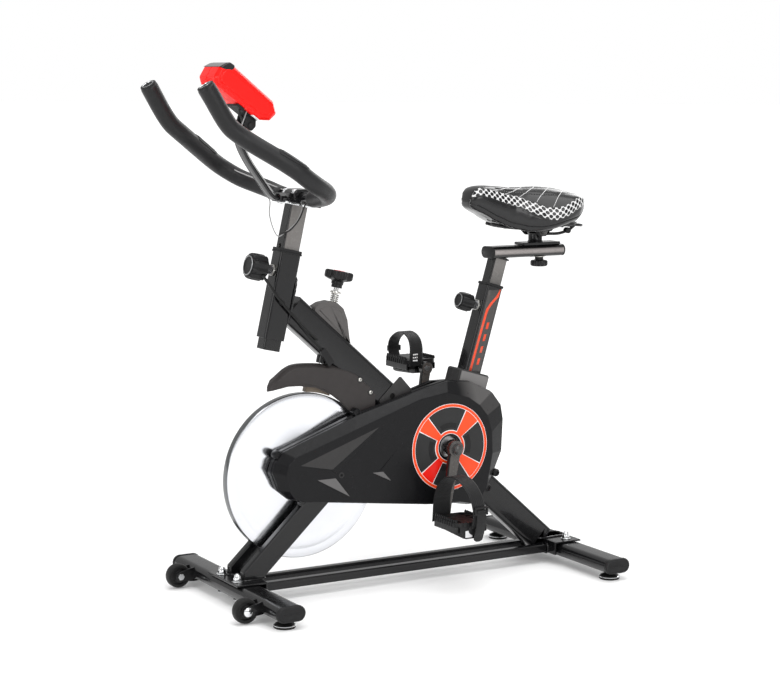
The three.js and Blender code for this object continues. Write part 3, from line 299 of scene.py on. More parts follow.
class Mat:
    """a procedural material: colour, roughness and height all vary"""
    def __init__(s, name, col, rough=.5, metal=0, coat=0, coat_rough=.08, spec=.28, cvar=.12, cscale=60, rvar=.08, rscale=120,
                 bump=.15, bscale=900, bdist=.0002, kind="noise", sheen=0, detail=4, dust=.0):
        m = s.m = bpy.data.materials.new(name); m.use_nodes = True
        s.t = m.node_tree; s.t.nodes.clear()
        s.out = s.n("ShaderNodeOutputMaterial"); s.b = s.n("ShaderNodeBsdfPrincipled")
        s.l(s.b.outputs[0], s.out.inputs[0])
        s.tc = s.n("ShaderNodeTexCoord"); s.pos = s.tc.outputs["Object"]
        s.b.inputs["Metallic"].default_value = metal
        s.b.inputs["Coat Weight"].default_value = coat; s.b.inputs["Coat Roughness"].default_value = coat_rough
        s.b.inputs["Specular IOR Level"].default_value = spec
        if sheen: s.b.inputs["Sheen Weight"].default_value = sheen; s.b.inputs["Sheen Roughness"].default_value = .5
        c = col if len(col) == 4 else (*col, 1)
        s.col = s.mix(tuple(max(0, x * (1 - cvar)) for x in c[:3]) + (1,), tuple(min(1, x * (1 + cvar)) for x in c[:3]) + (1,), s.noise(cscale, detail))
        if dust:
            d = s.ramp(s.noise(35, 6), .45, .75)
            d = s.math("MULTIPLY", d, dust)
            s.col = s.mixf(s.col, (.35, .33, .3, 1), d)
        s.rough = s.maprange(s.noise(rscale, 5, off=3.1), .3, .7, max(.02, rough - rvar), min(1, rough + rvar))
        if kind == "noise": h = s.noise(bscale, 3, off=1.7)
        elif kind == "leather":
            v = s.n("ShaderNodeTexVoronoi"); v.feature = "DISTANCE_TO_EDGE"; v.inputs["Scale"].default_value = bscale
            s.l(s.warp(.0006, 300), v.inputs["Vector"]); h = s.maprange(v.outputs["Distance"], 0, .28, 0, 1)
            s.col = s.mixf(s.col, tuple(x * .45 for x in c[:3]) + (1,), s.math("MULTIPLY", s.math("SUBTRACT", 1.0, h), .6))
        elif kind == "foam":
            v = s.n("ShaderNodeTexVoronoi"); v.inputs["Scale"].default_value = bscale; s.l(s.pos, v.inputs["Vector"]); h = v.outputs["Distance"]
        elif kind == "orange":       # powder coat
            h = s.noise(bscale, 1, off=.3)
        elif kind == "brush":        # lines across Y and Z, along X
            mp = s.n("ShaderNodeMapping"); mp.inputs["Scale"].default_value = (12, bscale, bscale); s.l(s.pos, mp.inputs[0])
            h = s.noise(1, 4, vec=mp.outputs[0])
        elif kind == "weave":
            w1 = s.wave("X", bscale); w2 = s.wave("Y", bscale * 1.0); w3 = s.wave("Z", bscale)
            h = s.math("MAXIMUM", s.math("MAXIMUM", w1, w2), w3)
        s.h = h
        bp = s.bump = s.n("ShaderNodeBump"); bp.inputs["Strength"].default_value = bump; bp.inputs["Distance"].default_value = bdist
        s.l(h, bp.inputs["Height"])
        s.l(bp.outputs[0], s.b.inputs["Normal"])
        s.apply()
    def apply(s):
        s.l(s.col, s.b.inputs["Base Color"]); s.l(s.rough, s.b.inputs["Roughness"]); return s
    def n(s, kind): return s.t.nodes.new(kind)
    def l(s, a, b): s.t.links.new(a, b)
    def put(s, v, sock):
        if isinstance(v, (int, float)): sock.default_value = v
        elif isinstance(v, tuple): sock.default_value = v
        else: s.l(v, sock)
    def noise(s, scale, detail=3, off=0.0, vec=None, rough=.55):
        n = s.n("ShaderNodeTexNoise"); n.inputs["Scale"].default_value = scale; n.inputs["Detail"].default_value = detail; n.inputs["Roughness"].default_value = rough
        if off:
            mp = s.n("ShaderNodeMapping"); mp.inputs["Location"].default_value = (off, off * 2, off * 3); s.l(vec or s.pos, mp.inputs[0]); s.l(mp.outputs[0], n.inputs["Vector"])
        else: s.l(vec or s.pos, n.inputs["Vector"])
        return n.outputs[0]
    def warp(s, amount, scale):
        n = s.n("ShaderNodeTexNoise"); n.inputs["Scale"].default_value = scale; s.l(s.pos, n.inputs["Vector"])
        v = s.n("ShaderNodeVectorMath"); v.operation = "MULTIPLY_ADD"; s.l(n.outputs[1], v.inputs[0]); v.inputs[1].default_value = (amount,) * 3; s.l(s.pos, v.inputs[2])
        return v.outputs[0]
    def wave(s, axis, scale):
        w = s.n("ShaderNodeTexWave"); w.bands_direction = axis; w.inputs["Scale"].default_value = scale; s.l(s.pos, w.inputs["Vector"]); return w.outputs["Fac"]
    def mix(s, a, b, f):
        m = s.n("ShaderNodeMix"); m.data_type = "RGBA"; s.put(f, m.inputs[0]); s.put(a, m.inputs[6]); s.put(b, m.inputs[7]); return m.outputs[2]
    mixf = lambda s, a, b, f: s.mix(a, b, f)
    def math(s, op, a, b=0.0, c=None):
        m = s.n("ShaderNodeMath"); m.operation = op; s.put(a, m.inputs[0]); s.put(b, m.inputs[1])
        if c is not None: s.put(c, m.inputs[2])
        return m.outputs[0]
    def maprange(s, v, a, b, c, d):
        m = s.n("ShaderNodeMapRange"); s.put(v, m.inputs[0])
        for i, x in enumerate((a, b, c, d)): m.inputs[i + 1].default_value = x
        return m.outputs[0]
    def ramp(s, v, a, b): return s.maprange(v, a, b, 0.0, 1.0)
    def xyz(s, v=None):
        m = s.n("ShaderNodeSeparateXYZ"); s.l(v or s.pos, m.inputs[0]); return m.outputs
    def normal(s):
        g = s.n("ShaderNodeNewGeometry"); return s.xyz(g.outputs["Normal"])
    def bump2(s, h, strength, dist):
        b = s.n("ShaderNodeBump"); b.inputs["Strength"].default_value = strength; b.inputs["Distance"].default_value = dist
        s.put(h, b.inputs["Height"]); s.l(s.bump.outputs[0], b.inputs["Normal"]); s.l(b.outputs[0], s.b.inputs["Normal"]); s.bump = b

PAINT = Mat("black_powder_paint", (.0045, .0045, .005), rough=.2, coat=.22, coat_rough=.06, kind="orange", bscale=900, bump=.12, bdist=.0001, cvar=.2, rvar=.07)
# inner posts: the same paint, with a painted reflection on the two flanks: a warm grey on faces turned to ±X, fading
# out towards the bottom
POST = Mat("post_paint", (.007, .007, .007), rough=.25, coat=.2, coat_rough=.1, kind="orange", bscale=1100, bump=.1, bdist=.0001)
_nx = POST.math("ABSOLUTE", POST.normal()[0])
POST.col = POST.mix(POST.col, POST.mix((.12, .112, .106, 1), (.19, .18, .172, 1), POST.noise(9, 3)), POST.math("MULTIPLY", POST.ramp(_nx, .75, .98), POST.ramp(POST.xyz()[2], .55, .66))); POST.apply()
# slider tube: black paint with a painted highlight, a pale grey band on the two flanks that fades out on faces turned
# down
SLIDE = Mat("slider_tube_paint", (.006, .006, .006), rough=.2, coat=.2, coat_rough=.06, kind="orange", bscale=900, bump=.1, bdist=.0001, cvar=.2)
_nx = SLIDE.normal(); _k = SLIDE.math("MULTIPLY", SLIDE.ramp(SLIDE.math("ABSOLUTE", _nx[0]), .80, .97), SLIDE.ramp(_nx[2], -.55, -.05))
SLIDE.col = SLIDE.mix(SLIDE.col, SLIDE.mix((.24, .22, .215, 1), (.36, .33, .32, 1), SLIDE.noise(14, 3)), _k); SLIDE.apply()
# crank arms: black paint with a painted highlight, a warm grey on faces turned to ±X
ARM = Mat("crank_paint", (.007, .007, .007), rough=.24, coat=.2, kind="orange", bscale=1000, bump=.1, bdist=.0001, cvar=.2)
_nx = ARM.normal(); ARM.col = ARM.mix(ARM.col, (.075, .068, .063, 1), ARM.ramp(ARM.math("ABSOLUTE", _nx[0]), .85, .99)); ARM.apply()
GUARD = Mat("guard_abs", (.0042, .0042, .005), rough=.33, spec=.2, kind="noise", bscale=2600, bump=.22, bdist=.00012, cvar=.2, rvar=.07)
# painted highlight: the shoulder round the seat tube is painted a paler grey on its faces turned outward and up, on the
# rear part, where the top light falls
_gn = GUARD.normal(); _gp = GUARD.xyz()
_guard_shoulder_highlight = GUARD.math("MULTIPLY", GUARD.math("MULTIPLY", GUARD.ramp(_gn[0], .25, .6), GUARD.ramp(_gn[2], .1, .35)), GUARD.ramp(_gp[1], .155, .2))
GUARD.col = GUARD.mix(GUARD.col, (.09, .087, .086, 1), _guard_shoulder_highlight); GUARD.apply()
# seat tube boss: dark plastic with a painted highlight, pale grey on faces turned toward +X
BOSS = Mat("boss_abs", (.014, .0138, .014), rough=.38, bscale=2400, bump=.22, bdist=.00012, cvar=.14)
_bn = BOSS.normal(); BOSS.col = BOSS.mix(BOSS.col, (.16, .155, .153, 1), BOSS.ramp(_bn[0], .8, .97)); BOSS.apply()
# GUARDT and GUARDL are paler copies of the guard plastic, painted light: GUARDT for facets turned to the top light,
# GUARDL, less pale, for the wedge facet and the frame ear plate
GUARDT = Mat("guard_abs_facet", (.115, .112, .112), rough=.4, bscale=2400, bump=.22, bdist=.00012, cvar=.12)
GUARDL = Mat("guard_abs_light", (.03, .029, .029), rough=.42, bscale=2400, bump=.22, bdist=.00012, cvar=.15)
FENDER = Mat("fender_pp", (.03, .0262, .0255), rough=.46, bscale=2600, bump=.22, bdist=.00012, cvar=.16)
CAP = Mat("cap_pe", (.0075, .0075, .008), rough=.52, bscale=1800, bump=.3, bdist=.00012, cvar=.2)
KNOB = Mat("knob_nylon", (.006, .006, .0065), rough=.38, bscale=2200, bump=.25, bdist=.0001, cvar=.2)
DCHR = Mat("dark_chrome", (.16, .16, .165), rough=.2, metal=1, kind="noise", bscale=400, bump=.04, bdist=.0001, cvar=.08, rvar=.06)
CHROME = Mat("bright_chrome", (.78, .79, .8), rough=.12, metal=1, kind="noise", bscale=400, bump=.03, bdist=.0001, cvar=.05, rvar=.05)
STEEL = Mat("turned_steel", (.45, .455, .46), rough=.32, metal=1, kind="brush", bscale=1500, bump=.2, bdist=.0001, cvar=.12, rvar=.08)
ZINC = Mat("zinc_plate", (.56, .55, .52), rough=.3, metal=1, kind="noise", bscale=700, bump=.1, bdist=.0001, cvar=.1, rvar=.1)
RUBBER = Mat("black_rubber", (.006, .006, .006), rough=.62, bscale=1400, bump=.3, bdist=.0002, cvar=.25, sheen=.04)
FOAM = Mat("foam_grip", (.005, .005, .0056), rough=.4, spec=.3, kind="foam", bscale=1500, bump=.35, bdist=.0003, cvar=.22, sheen=.06, rvar=.08)
STRAP = Mat("strap_web", (.006, .006, .0065), rough=.48, kind="weave", bscale=420, bump=.45, bdist=.0003, cvar=.25, sheen=.05)
RED = Mat("console_red", (.86, .0035, .001), rough=.34, coat=.1, coat_rough=.15, spec=.2, bscale=1500, bump=.08, bdist=.0001, cvar=.035, rvar=.04)
GLOSS = Mat("gloss_black", (.006, .006, .007), rough=.16, coat=.6, coat_rough=.05, bscale=500, bump=.05, bdist=.0001, cvar=.15, rvar=.05)
PEDAL = Mat("pedal_resin", (.0065, .0065, .007), rough=.36, bscale=1600, bump=.25, bdist=.00015, cvar=.22, rvar=.09)
CAPG = Mat("crank_cap", (.05, .048, .047), rough=.28, coat=.3, bscale=900, bump=.08, bdist=.0001, cvar=.15)
GREY = Mat("cover_grey", (.085, .08, .078), rough=.5, bscale=2200, bump=.2, bdist=.0001, cvar=.1)
WHITE = Mat("white_print", (.82, .82, .82), rough=.42, bscale=900, bump=.08, bdist=.0001, cvar=.05)
ORANGE = Mat("orange_print", srgb(244, 72, 20), rough=.4, coat=.15, bscale=1200, bump=.08, bdist=.0001, cvar=.06)
ORANGE2 = Mat("red_print", srgb(236, 22, 6), rough=.4, coat=.15, bscale=1200, bump=.08, bdist=.0001, cvar=.06)
DARK = Mat("disc_dark", (.018, .018, .0185), rough=.42, bscale=2200, bump=.2, bdist=.0001, cvar=.18)
FELT = Mat("wool_felt", (.16, .13, .1), rough=.9, bscale=1600, bump=.6, bdist=.0005, cvar=.3, sheen=.4)
CABLE = Mat("cable_pvc", (.008, .008, .008), rough=.45, bscale=900, bump=.1, bdist=.0001, cvar=.2)
WIRE = Mat("thin_wire", (.3, .3, .3), rough=.5, bscale=900, bump=.1, bdist=.0001, cvar=.1)
PADM = Mat("pulse_pad", (.03, .03, .032), rough=.28, metal=.6, kind="noise", bscale=900, bump=.08, bdist=.0001, cvar=.15)
# painted shade: a near-black filler set into the bottoms of holes and recesses
HOLE = Mat("hole_dark", (.002, .002, .002), rough=.8, bscale=900, bump=.05, cvar=.3)
REFLECT = Mat("reflector", (.75, .75, .76), rough=.18, coat=.5, kind="weave", bscale=220, bump=.5, bdist=.0005, cvar=.06)
BELT = Mat("belt_rubber", (.012, .012, .012), rough=.65, kind="weave", bscale=300, bump=.4, bdist=.0004, cvar=.2)
# flywheel: fine turning rings around its own axle
FLYM = Mat("flywheel_chrome", (.72, .73, .76), rough=.16, metal=1, bscale=600, bump=.02, bdist=.0001, cvar=.02, rvar=.03)
_p = FLYM.xyz(); _dy = FLYM.math("SUBTRACT", _p[1], (17 - OY) / 1000); _dz = FLYM.math("SUBTRACT", _p[2], .247)
_r = FLYM.math("SQRT", FLYM.math("ADD", FLYM.math("MULTIPLY", _dy, _dy), FLYM.math("MULTIPLY", _dz, _dz)))
_cr = FLYM.n("ShaderNodeCombineXYZ"); FLYM.l(_r, _cr.inputs[0])
_rn = FLYM.noise(900, 2, vec=_cr.outputs[0])
# painted shade: the rounded outer rim, beyond 167.8 mm radius, is painted dark grey
FLYM.col = FLYM.mix(FLYM.col, (.16, .165, .17, 1), FLYM.ramp(_r, .1678, .1692)); FLYM.rough = FLYM.maprange(_rn, .3, .7, .1, .24); FLYM.bump2(_rn, .12, .00006); FLYM.apply()
# saddle cover: black grained leather, with the printed dot band read from vertex attributes
SAD = Mat("saddle_leather", (.0035, .0035, .0042), rough=.2, spec=.32, coat=.3, coat_rough=.16, kind="leather", bscale=520, bump=.12, bdist=.00018, cvar=.12, rvar=.05)
_at = SAD.n("ShaderNodeAttribute"); _at.attribute_name = "band"; _q = SAD.xyz(_at.outputs["Vector"])   # s in mm, t in -1..1, mask
def _lattice(mat, s_, t_, px_, py_, ox, oy):
    a = mat.math("SUBTRACT", mat.math("FRACT", mat.math("ADD", mat.math("DIVIDE", s_, px_), ox)), .5)
    b = mat.math("SUBTRACT", mat.math("FRACT", mat.math("ADD", mat.math("DIVIDE", t_, py_), oy)), .5)
    a = mat.math("MULTIPLY", a, px_); b = mat.math("MULTIPLY", b, py_)
    return mat.math("SQRT", mat.math("ADD", mat.math("MULTIPLY", a, a), mat.math("MULTIPLY", b, b)))
_w = _q[2]                                   # local half width in mm
_tm = SAD.math("MULTIPLY", _q[1], _w)
_d = SAD.math("MINIMUM", _lattice(SAD, _q[0], _tm, 12.6, 12.4, 0.0, .5), _lattice(SAD, _q[0], _tm, 12.6, 12.4, .5, 0.0))
_dot = SAD.ramp(_d, 4.05, 3.6)                # black hexagon-like dots
_d2 = SAD.math("MINIMUM", _lattice(SAD, _q[0], _tm, 15.0, 17.0, .25, .25), _lattice(SAD, _q[0], _tm, 15.0, 17.0, .75, .25))
_abs = SAD.math("ABSOLUTE", _q[1])
_in = SAD.ramp(_abs, 1.0, .93)
_ragged = SAD.ramp(SAD.math("ADD", _abs, SAD.math("MULTIPLY", SAD.noise(160, 2), .5)), 1.18, 1.1)
_white = SAD.math("MULTIPLY", SAD.math("MULTIPLY", _in, _ragged), SAD.math("SUBTRACT", 1.0, _dot))
_white = SAD.math("MULTIPLY", _white, SAD.ramp(_w, .5, 1.0))
SAD.col = SAD.mix(SAD.col, (.66, .66, .66, 1), _white); SAD.apply()

# ------------------------------------------------------------------ main frame
F = "frame"
Z1 = 51.3
TU = Vector((0, math.sin(math.atan(.878)), math.cos(math.atan(.878))))
pieces_frame = []
def tube(name, a, b, w, d, r, wall, mat=PAINT, body=F, open_ends=True, **k):
    inner = rr(w - 2 * wall, d - 2 * wall, max(.6, r - wall)) if open_ends else None
    return add(name, *along(a, b, rr(w, d, r), inner), mat, body, **k)
def weld(name, path, r=2.6, closed=True, body=F):
    """a rippled bead"""
    P = spline(path, 10, closed)
    rad = [r * (1 + .16 * math.sin(i * 1.9)) for i in range(len(P))]
    P2 = [tuple(p) for p in P]
    return add(name, *sweep(P2, rad, 8, closed=closed), PAINT, body, merge=False)

mt = add("main_tube", *joined(along(tubeAt(-8), tubeAt(611), rr(40, 60, 9))), PAINT, F, sharp=50)
ht = tube("head_tube", headAt(531), headAt(704), 42, 46, 6, 2.2, bevel=.5)
st = tube("seat_tube", seatAt(300), seatAt(612), 40, 40, 6, 2.2, bevel=.5)
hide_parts("main_frame")
# weld at the head tube: where the main tube meets its back face
hb = headAt(607) - HF * 23.6
def onhead(x, z): p = headAt(z) - HF * 23.2; return (x, p.y, p.z)
weld("weld_head", [onhead(-17, 655), onhead(0, 658), onhead(17, 655), onhead(20.4, 620), onhead(17, 571), onhead(0, 567), onhead(-17, 571), onhead(-20.4, 620)], 2.8)
# bottom bracket shell
add("bracket_shell", *turned((0, 340.5, 285), (1, 0, 0), [(19.6, -36), (24, -36), (24, 36), (19.6, 36)], 40, True), PAINT, F, bevel=.8)
# legs, rails, houses
ld = Vector((0, math.cos(.7537), math.sin(.7537))); n = Vector((0, -ld.z, ld.y)) * 22
lA, lB = Vector((0, -112, 56.8)), Vector((0, 207, 356))
for s, nm in ((-1, "right"), (1, "left")):
    x0, x1 = (21, 39) if s > 0 else (-39, -21); xm = (x0 + x1) / 2
    leg = [(-106, Z1 - .2), (-130.5, Z1 - .2), (-130.5, 69), (lB.y + n.y, lB.z + n.z), (lB.y - n.y, lB.z - n.z), (-86.5, Z1 - .2)]
    add("fork_leg_" + nm, *prism(leg, x0, x1), PAINT, F, bevel=3.2, seg=4)
    add("floor_rail_" + nm, *prism([(-91.2, 23.5), (608, 23.5), (608, 41.5), (-91.2, 41.5)], x0, x1), PAINT, F, bevel=3, seg=4)
    add("axle_lug_" + nm, *prism([(-3, 247), (-4, 236), (-1, 190), (45, 190), (82, 236), (38, 247)], x0 + .5, x1 - .5), PAINT, F, bevel=2, seg=3)
    add("axle_housing_" + nm, *turned((xm, 17, 247), (1, 0, 0), [(18.6, -9), (22, -9), (22, 9), (18.6, 9)], 40, True), PAINT, F, bevel=.8)
    weld("weld_leg_" + nm, [(x0 - .5, -131, Z1 + 1), (x1 + .5, -131, Z1 + 1), (x1 + .5, -86, Z1 + 1), (x0 - .5, -86, Z1 + 1)], 2.0)
    for tg, yy in (("front", -90.5), ("rear", 607.5)):
        weld("weld_rail_%s_%s" % (tg, nm), [(x0, yy, 24), (x1, yy, 24), (x1, yy, 41), (x0, yy, 41)], 1.8)
# plates with turned-down lips
for tag, y0, y1, lip in (("front", -159, -95, 1), ("rear", 612, 676, -1)):
    P = [(y0, 47.3), (y1, 47.3), (y1, Z1), (y0, Z1)]
    add("base_plate_" + tag, *prism(P, -68, 68), PAINT, F, bevel=1.2, seg=3)
    ly = (-95.5, -90.5) if lip > 0 else (607.5, 612.5)
    add("plate_lip_" + tag, *prism([(ly[0], 23), (ly[1], 23), (ly[1], Z1), (ly[0], Z1)], -68, 68), PAINT, F, bevel=1.3, seg=3)
bq = tubeAt(612)
weld("weld_tube_foot", [(-20, 598, Z1 + 1), (20, 598, Z1 + 1), (21, 640, Z1 + 1), (16, 668, Z1 + 1), (-16, 668, Z1 + 1), (-21, 640, Z1 + 1)], 2.4)
tf = add("main_tube_foot", *loft([[tuple(tubeAt(600) + Vector((1, 0, 0)) * q[0] + TU * q[1]) for q in rr(40, 60, 9)],
     [(q[0], 633 - q[1] * 1.2, Z1) for q in rr(40, 60, 9)]]), PAINT, F, sharp=50)
# sleeves: brake rod boss, locking knob collars
add("rod_boss", *along(rodAt(474), rodAt(566), circ(12.6, 24), circ(7, 24)), PAINT, F, bevel=.6)
for nm, c, d, a, b in (("post_collar", headAt(664), HF, 22.6, 43), ("seat_collar", seatAt(567), SF, 19.6, 37)):
    pr = [(5.6, a), (10.6, a), (10.6, a + 5), (9.5, a + 6.5)]
    t = a + 6.5
    while t < b - 2.4: pr += [(9.5, t), (8.8, t + .6), (9.5, t + 1.2)]; t += 1.5
    pr += [(9.3, b - .6), (8.6, b), (5.6, b)]
    add(nm, *turned(c, d, pr, 40, True), DCHR, F, sharp=25)
    add(nm + "_nut", *along(Vector(c) + d * (a + 1), Vector(c) + d * (a + 6), circ(13, 6), None), ZINC, F, bevel=.6)
# printed stripe on the flanks of the seat tube: plain, steps from the front edge to the rear edge near the top
DEC = Mat("decal_stripe", srgb(222, 74, 44), rough=.32, bscale=900, bump=.06, bdist=.0001, cvar=.1)
DEC.col = DEC.mix(DEC.col, srgb(190, 96, 74), DEC.ramp(DEC.noise(120, 4), .52, .7)); DEC.apply()
PANEL = Mat("decal_panel", (.062, .058, .056), rough=.36, bscale=900, bump=.08, bdist=.0001, cvar=.12)
for s, nm in ((1, "left"), (-1, "right")):
    def flank(name, rows, x, mat):
        V_, F_ = [], []
        for z, ya, yb in rows:
            c = seatAt(z)
            for j in range(5): V_.append((s * x, c.y + ya + (yb - ya) * j / 4, z))
        for i in range(len(rows) - 1):
            for j in range(4):
                q = i * 5 + j; F_.append([q, q + 1, q + 6, q + 5])
        o_ = add(name, V_, F_, mat, F, sharp=180)
        so = o_.modifiers.new("sol", "SOLIDIFY"); so.thickness = .00012; so.offset = 1 if s > 0 else -1
    flank("seat_tube_panel_" + nm, [(z, -15.6, 15.6) for z in range(426, 607, 12)], 20.06, PANEL)
    flank("seat_tube_decal_" + nm, [(426, -13.5, -7.5), (470, -12.6, -6.6), (520, -11.4, -5.4), (556, -10.4, -4.2), (566, -9.8, -2.6), (578, -3.5, 4.5), (590, 6.0, 14.6), (596, 9.5, 15.2), (606, 13.0, 15.2)], 20.2, DEC)
    for k in range(4):          # four plain dashes beside the stripe
        z0 = 448 + k * 25
        flank("seat_tube_dash_%d_%s" % (k, nm), [(z0, 1.5, 7.5), (z0 + 7, 1.5, 7.5), (z0 + 14, 1.5, 7.5)], 20.2, DEC)
# ------------------------------------------------------------------ floor tubes and what stands on them
for tag, y in (("front", -129), ("rear", 646)):
    fs = add(tag + "_floor_tube", *along((-236, y, 32), (236, y, 32), rr(60, 30, 15, 10), rr(56, 26, 13, 10)), PAINT, F, sharp=40)
    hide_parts(tag + "_stabilizer")
    for s, nm in ((1, "left"), (-1, "right")):
        # end cap: a domed plug with a step
        def ring(x, k): return [(s * x, y + q[0], 32 + q[1]) for q in rr(62 - k, 32 - k, 16 - k / 2, 10)]
        V_, F_ = loft([ring(224, 8), ring(236.2, 8), ring(236.2, .3), ring(237, 0), ring(242, .2), ring(243.8, 1.6), ring(244.8, 4.5), ring(244.2, 8.5), ring(243.9, 11), ring(244.3, 14)])
        ob = add("%s_end_cap_%s" % (tag, nm), V_, F_, CAP, F, sharp=50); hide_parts("%s_cap_%s" % (tag, nm))
        add("%s_cap_rib_%s" % (tag, nm), *joined(*[prism([(y - 19 + i * 0, 31.4), (y + 19, 31.4), (y + 19, 32.6), (y - 19, 32.6)], *( (244.0, 244.9) if s > 0 else (-244.9, -244.0))) for i in range(1)]), CAP, F, bevel=.3)
        # carriage bolt, washer, acorn nut
        bx, by = s * (36 if tag == "front" else 48), y + (-14 if tag == "front" else 4)
        hexr = circ(8.2, 6); c = Vector((bx, by, 0))
        nut = joined(turned(c, (0, 0, 1), [(0, 12.5), (6, 13), (9, 15.6), (9, 16.4), (4.2, 16.4), (4.2, Z1 + .3), (11, Z1 + .3), (11, Z1 + 1.9), (0, Z1 + 1.9)], 36),
                     along(c + Vector((0, 0, Z1 + 1.9)), c + Vector((0, 0, Z1 + 8)), hexr),
                     turned(c, (0, 0, 1), [(7.4, Z1 + 8), (6.9, Z1 + 9.5)] + [(6.7 * math.cos(a * math.pi / 16), Z1 + 10.5 + 6.6 * math.sin(a * math.pi / 16)) for a in range(9)], 36))
        ob = add("%s_acorn_nut_%s" % (tag, nm), *nut, CHROME, F, bevel=.35, sharp=40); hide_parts("%s_bolt_%s" % (tag, nm))
        # levelling foot: rubber pad, chromed rim, stud and lock nut
        fb = "%s_foot_%s" % (tag, nm); c = Vector((s * 214, y, 0))
        pad = [(0, .2), (12, .2), (12.5, .9), (15, .9), (15.5, 0), (20.6, 0), (21.6, 1.2), (21.9, 3.6), (20.9, 4.6), (0, 4.6)]
        ob = add(fb + "_pad", *turned(c, (0, 0, 1), pad, 56), RUBBER, fb, sharp=30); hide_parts(fb)
        add(fb + "_rim", *turned(c, (0, 0, 1), [(19, 4.4), (21.7, 4.3), (22.2, 5.0), (22, 6), (20.6, 7), (17.5, 7.6)], 56), CHROME, fb, sharp=30)
        add(fb + "_dome", *turned(c, (0, 0, 1), [(20.3, 6.6), (18.6, 8.4), (14.5, 10.4), (10, 11.8), (8, 12.3), (0, 12.3)], 56), CAP, fb, sharp=35)
        pr = [(0, 11.5), (5, 11.5)]; t = 12.4
        while t < 25.4: pr += [(5.0, t), (4.4, t + .55), (5.0, t + 1.1)]; t += 1.2
        add(fb + "_stud", *turned(c, (0, 0, 1), pr + [(4.4, 26), (0, 26)], 24), ZINC, fb, sharp=20)
        add(fb + "_locknut", *along(c + Vector((0, 0, 12.2)), c + Vector((0, 0, 15.6)), circ(8.6, 6, .3)), ZINC, fb, bevel=.5)
# wheel brackets and transport wheels
for s, nm in ((1, "left"), (-1, "right")):
    for k, (a, b) in enumerate(((142.4, 145.4), (168.6, 171.6))):
        x0, x1 = (a, b) if s > 0 else (-b, -a)
        P = round_poly([(-150, 45), (-180, 39), (-196, 33), (-197, 21), (-188, 15), (-150, 19)], 7, 6)
        add("wheel_bracket_%s_%d" % (nm, k), *prism(P, x0, x1), PAINT, F, bevel=.6)
    c = Vector((s * 157, -186, 27))
    add("wheel_bolt_" + nm, *joined(turned(c, (1, 0, 0), [(0, -17.6), (4.2, -17.6), (4.2, 17.6), (0, 17.6)], 24),
        turned(c, (s, 0, 0), [(0, 14.8), (9, 14.8), (9.4, 15.4), (9.2, 16.2), (8, 17.2), (4, 18.4), (0, 18.8)], 32),
        along(c - Vector((s * 14.9, 0, 0)), c - Vector((s * 18.6, 0, 0)), circ(7.2, 6))), CHROME, F, bevel=.3, sharp=35)
    tyre = [(17.5, -9), (18.6, -9.8), (21.6, -10), (23.8, -8.6), (24.8, -5), (25, 0), (24.8, 5), (23.8, 8.6), (21.6, 10), (18.6, 9.8), (17.5, 9)]
    ob = add("transport_tyre_" + nm, *turned(c, (1, 0, 0), tyre, 64, True), RUBBER, "wheel_" + nm, sharp=30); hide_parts("transport_wheel_" + nm)
    hub = [(5, -9.6), (10.5, -9.6), (11.5, -8.8), (11.8, -6), (16.6, -5.4), (17.4, -8.8), (18, -9), (18, 9), (17.4, 8.8), (16.6, 5.4), (11.8, 6), (11.5, 8.8), (10.5, 9.6), (5, 9.6)]
    add("transport_hub_" + nm, *turned(c, (1, 0, 0), hub, 48, True), KNOB, "wheel_" + nm, sharp=30)
    for i in range(5):
        a = 2 * math.pi * i / 5; d = Vector((0, math.cos(a), math.sin(a)))
        add("hub_rib_%s_%d" % (nm, i), *along(c + d * 11 , c + d * 17.2, rr(13, 2.2, .6)), KNOB, "wheel_" + nm, bevel=.3)

# ------------------------------------------------------------------ flywheel and drive
fc = Vector((0, 17, 247)); cc = Vector((0, 340.5, 285)); X = (1, 0, 0)
prof = [(9, -19.5), (15, -19.5), (18.6, -19.2), (19.4, -18), (21, -12.5), (24, -10.6), (28, -10), (60, -10), (61, -9.6), (150, -9.6), (151.5, -10), (166.2, -10), (168.6, -9.4), (169.7, -8.2), (170, -6.8)]
prof = prof + [(r, -t) for r, t in reversed(prof)]
ob = add("flywheel_disc", *turned(fc, X, prof, 160, True), FLYM, "flywheel", sharp=25, merge=False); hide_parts("flywheel")
for s in (-1, 1):
    for i in range(6):
        a = math.pi * i / 3; p = fc + Vector((s * 9.4, 42 * math.cos(a), 42 * math.sin(a)))
        add("flywheel_bolt_%s_%d" % ("l" if s > 0 else "r", i), *joined(along(p, p + Vector((s * 4.4, 0, 0)), circ(6.2, 6, a))), ZINC, "flywheel", bevel=.5)
ob = add("flywheel_axle", *joined(turned(fc, X, [(0, -46), (6.5, -46), (7.4, -45.2)] + sum([[(7.5, -45 + i * 1.4), (6.9, -44.3 + i * 1.4)] for i in range(8)], []) + [(8.4, -33), (8.4, 55), (0, 55)], 36)), STEEL, "flywheel", sharp=20)
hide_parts("flywheel_shaft")
for s, nm in ((1, "left"), (-1, "right")):
    c = fc + Vector((s * 30, 0, 0))
    ob = add("bearing_race_" + nm, *joined(turned(c, X, [(9, -6.6), (11.6, -6.6), (11.6, 6.6), (9, 6.6)], 40, True), turned(c, X, [(15, -6.6), (17.6, -6.6), (17.6, 6.6), (15, 6.6)], 40, True),
        turned(c, X, [(11.6, -5.6), (15, -5.6), (15, 5.6), (11.6, 5.6)], 40, True)), STEEL, F, bevel=.3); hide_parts("shaft_bearing_" + nm)
c = fc - Vector((41, 0, 0))
add("axle_nut_right", *joined(along(c + Vector((1, 0, 0)), c - Vector((4.6, 0, 0)), circ(11, 6), None)), ZINC, "flywheel", bevel=.6)
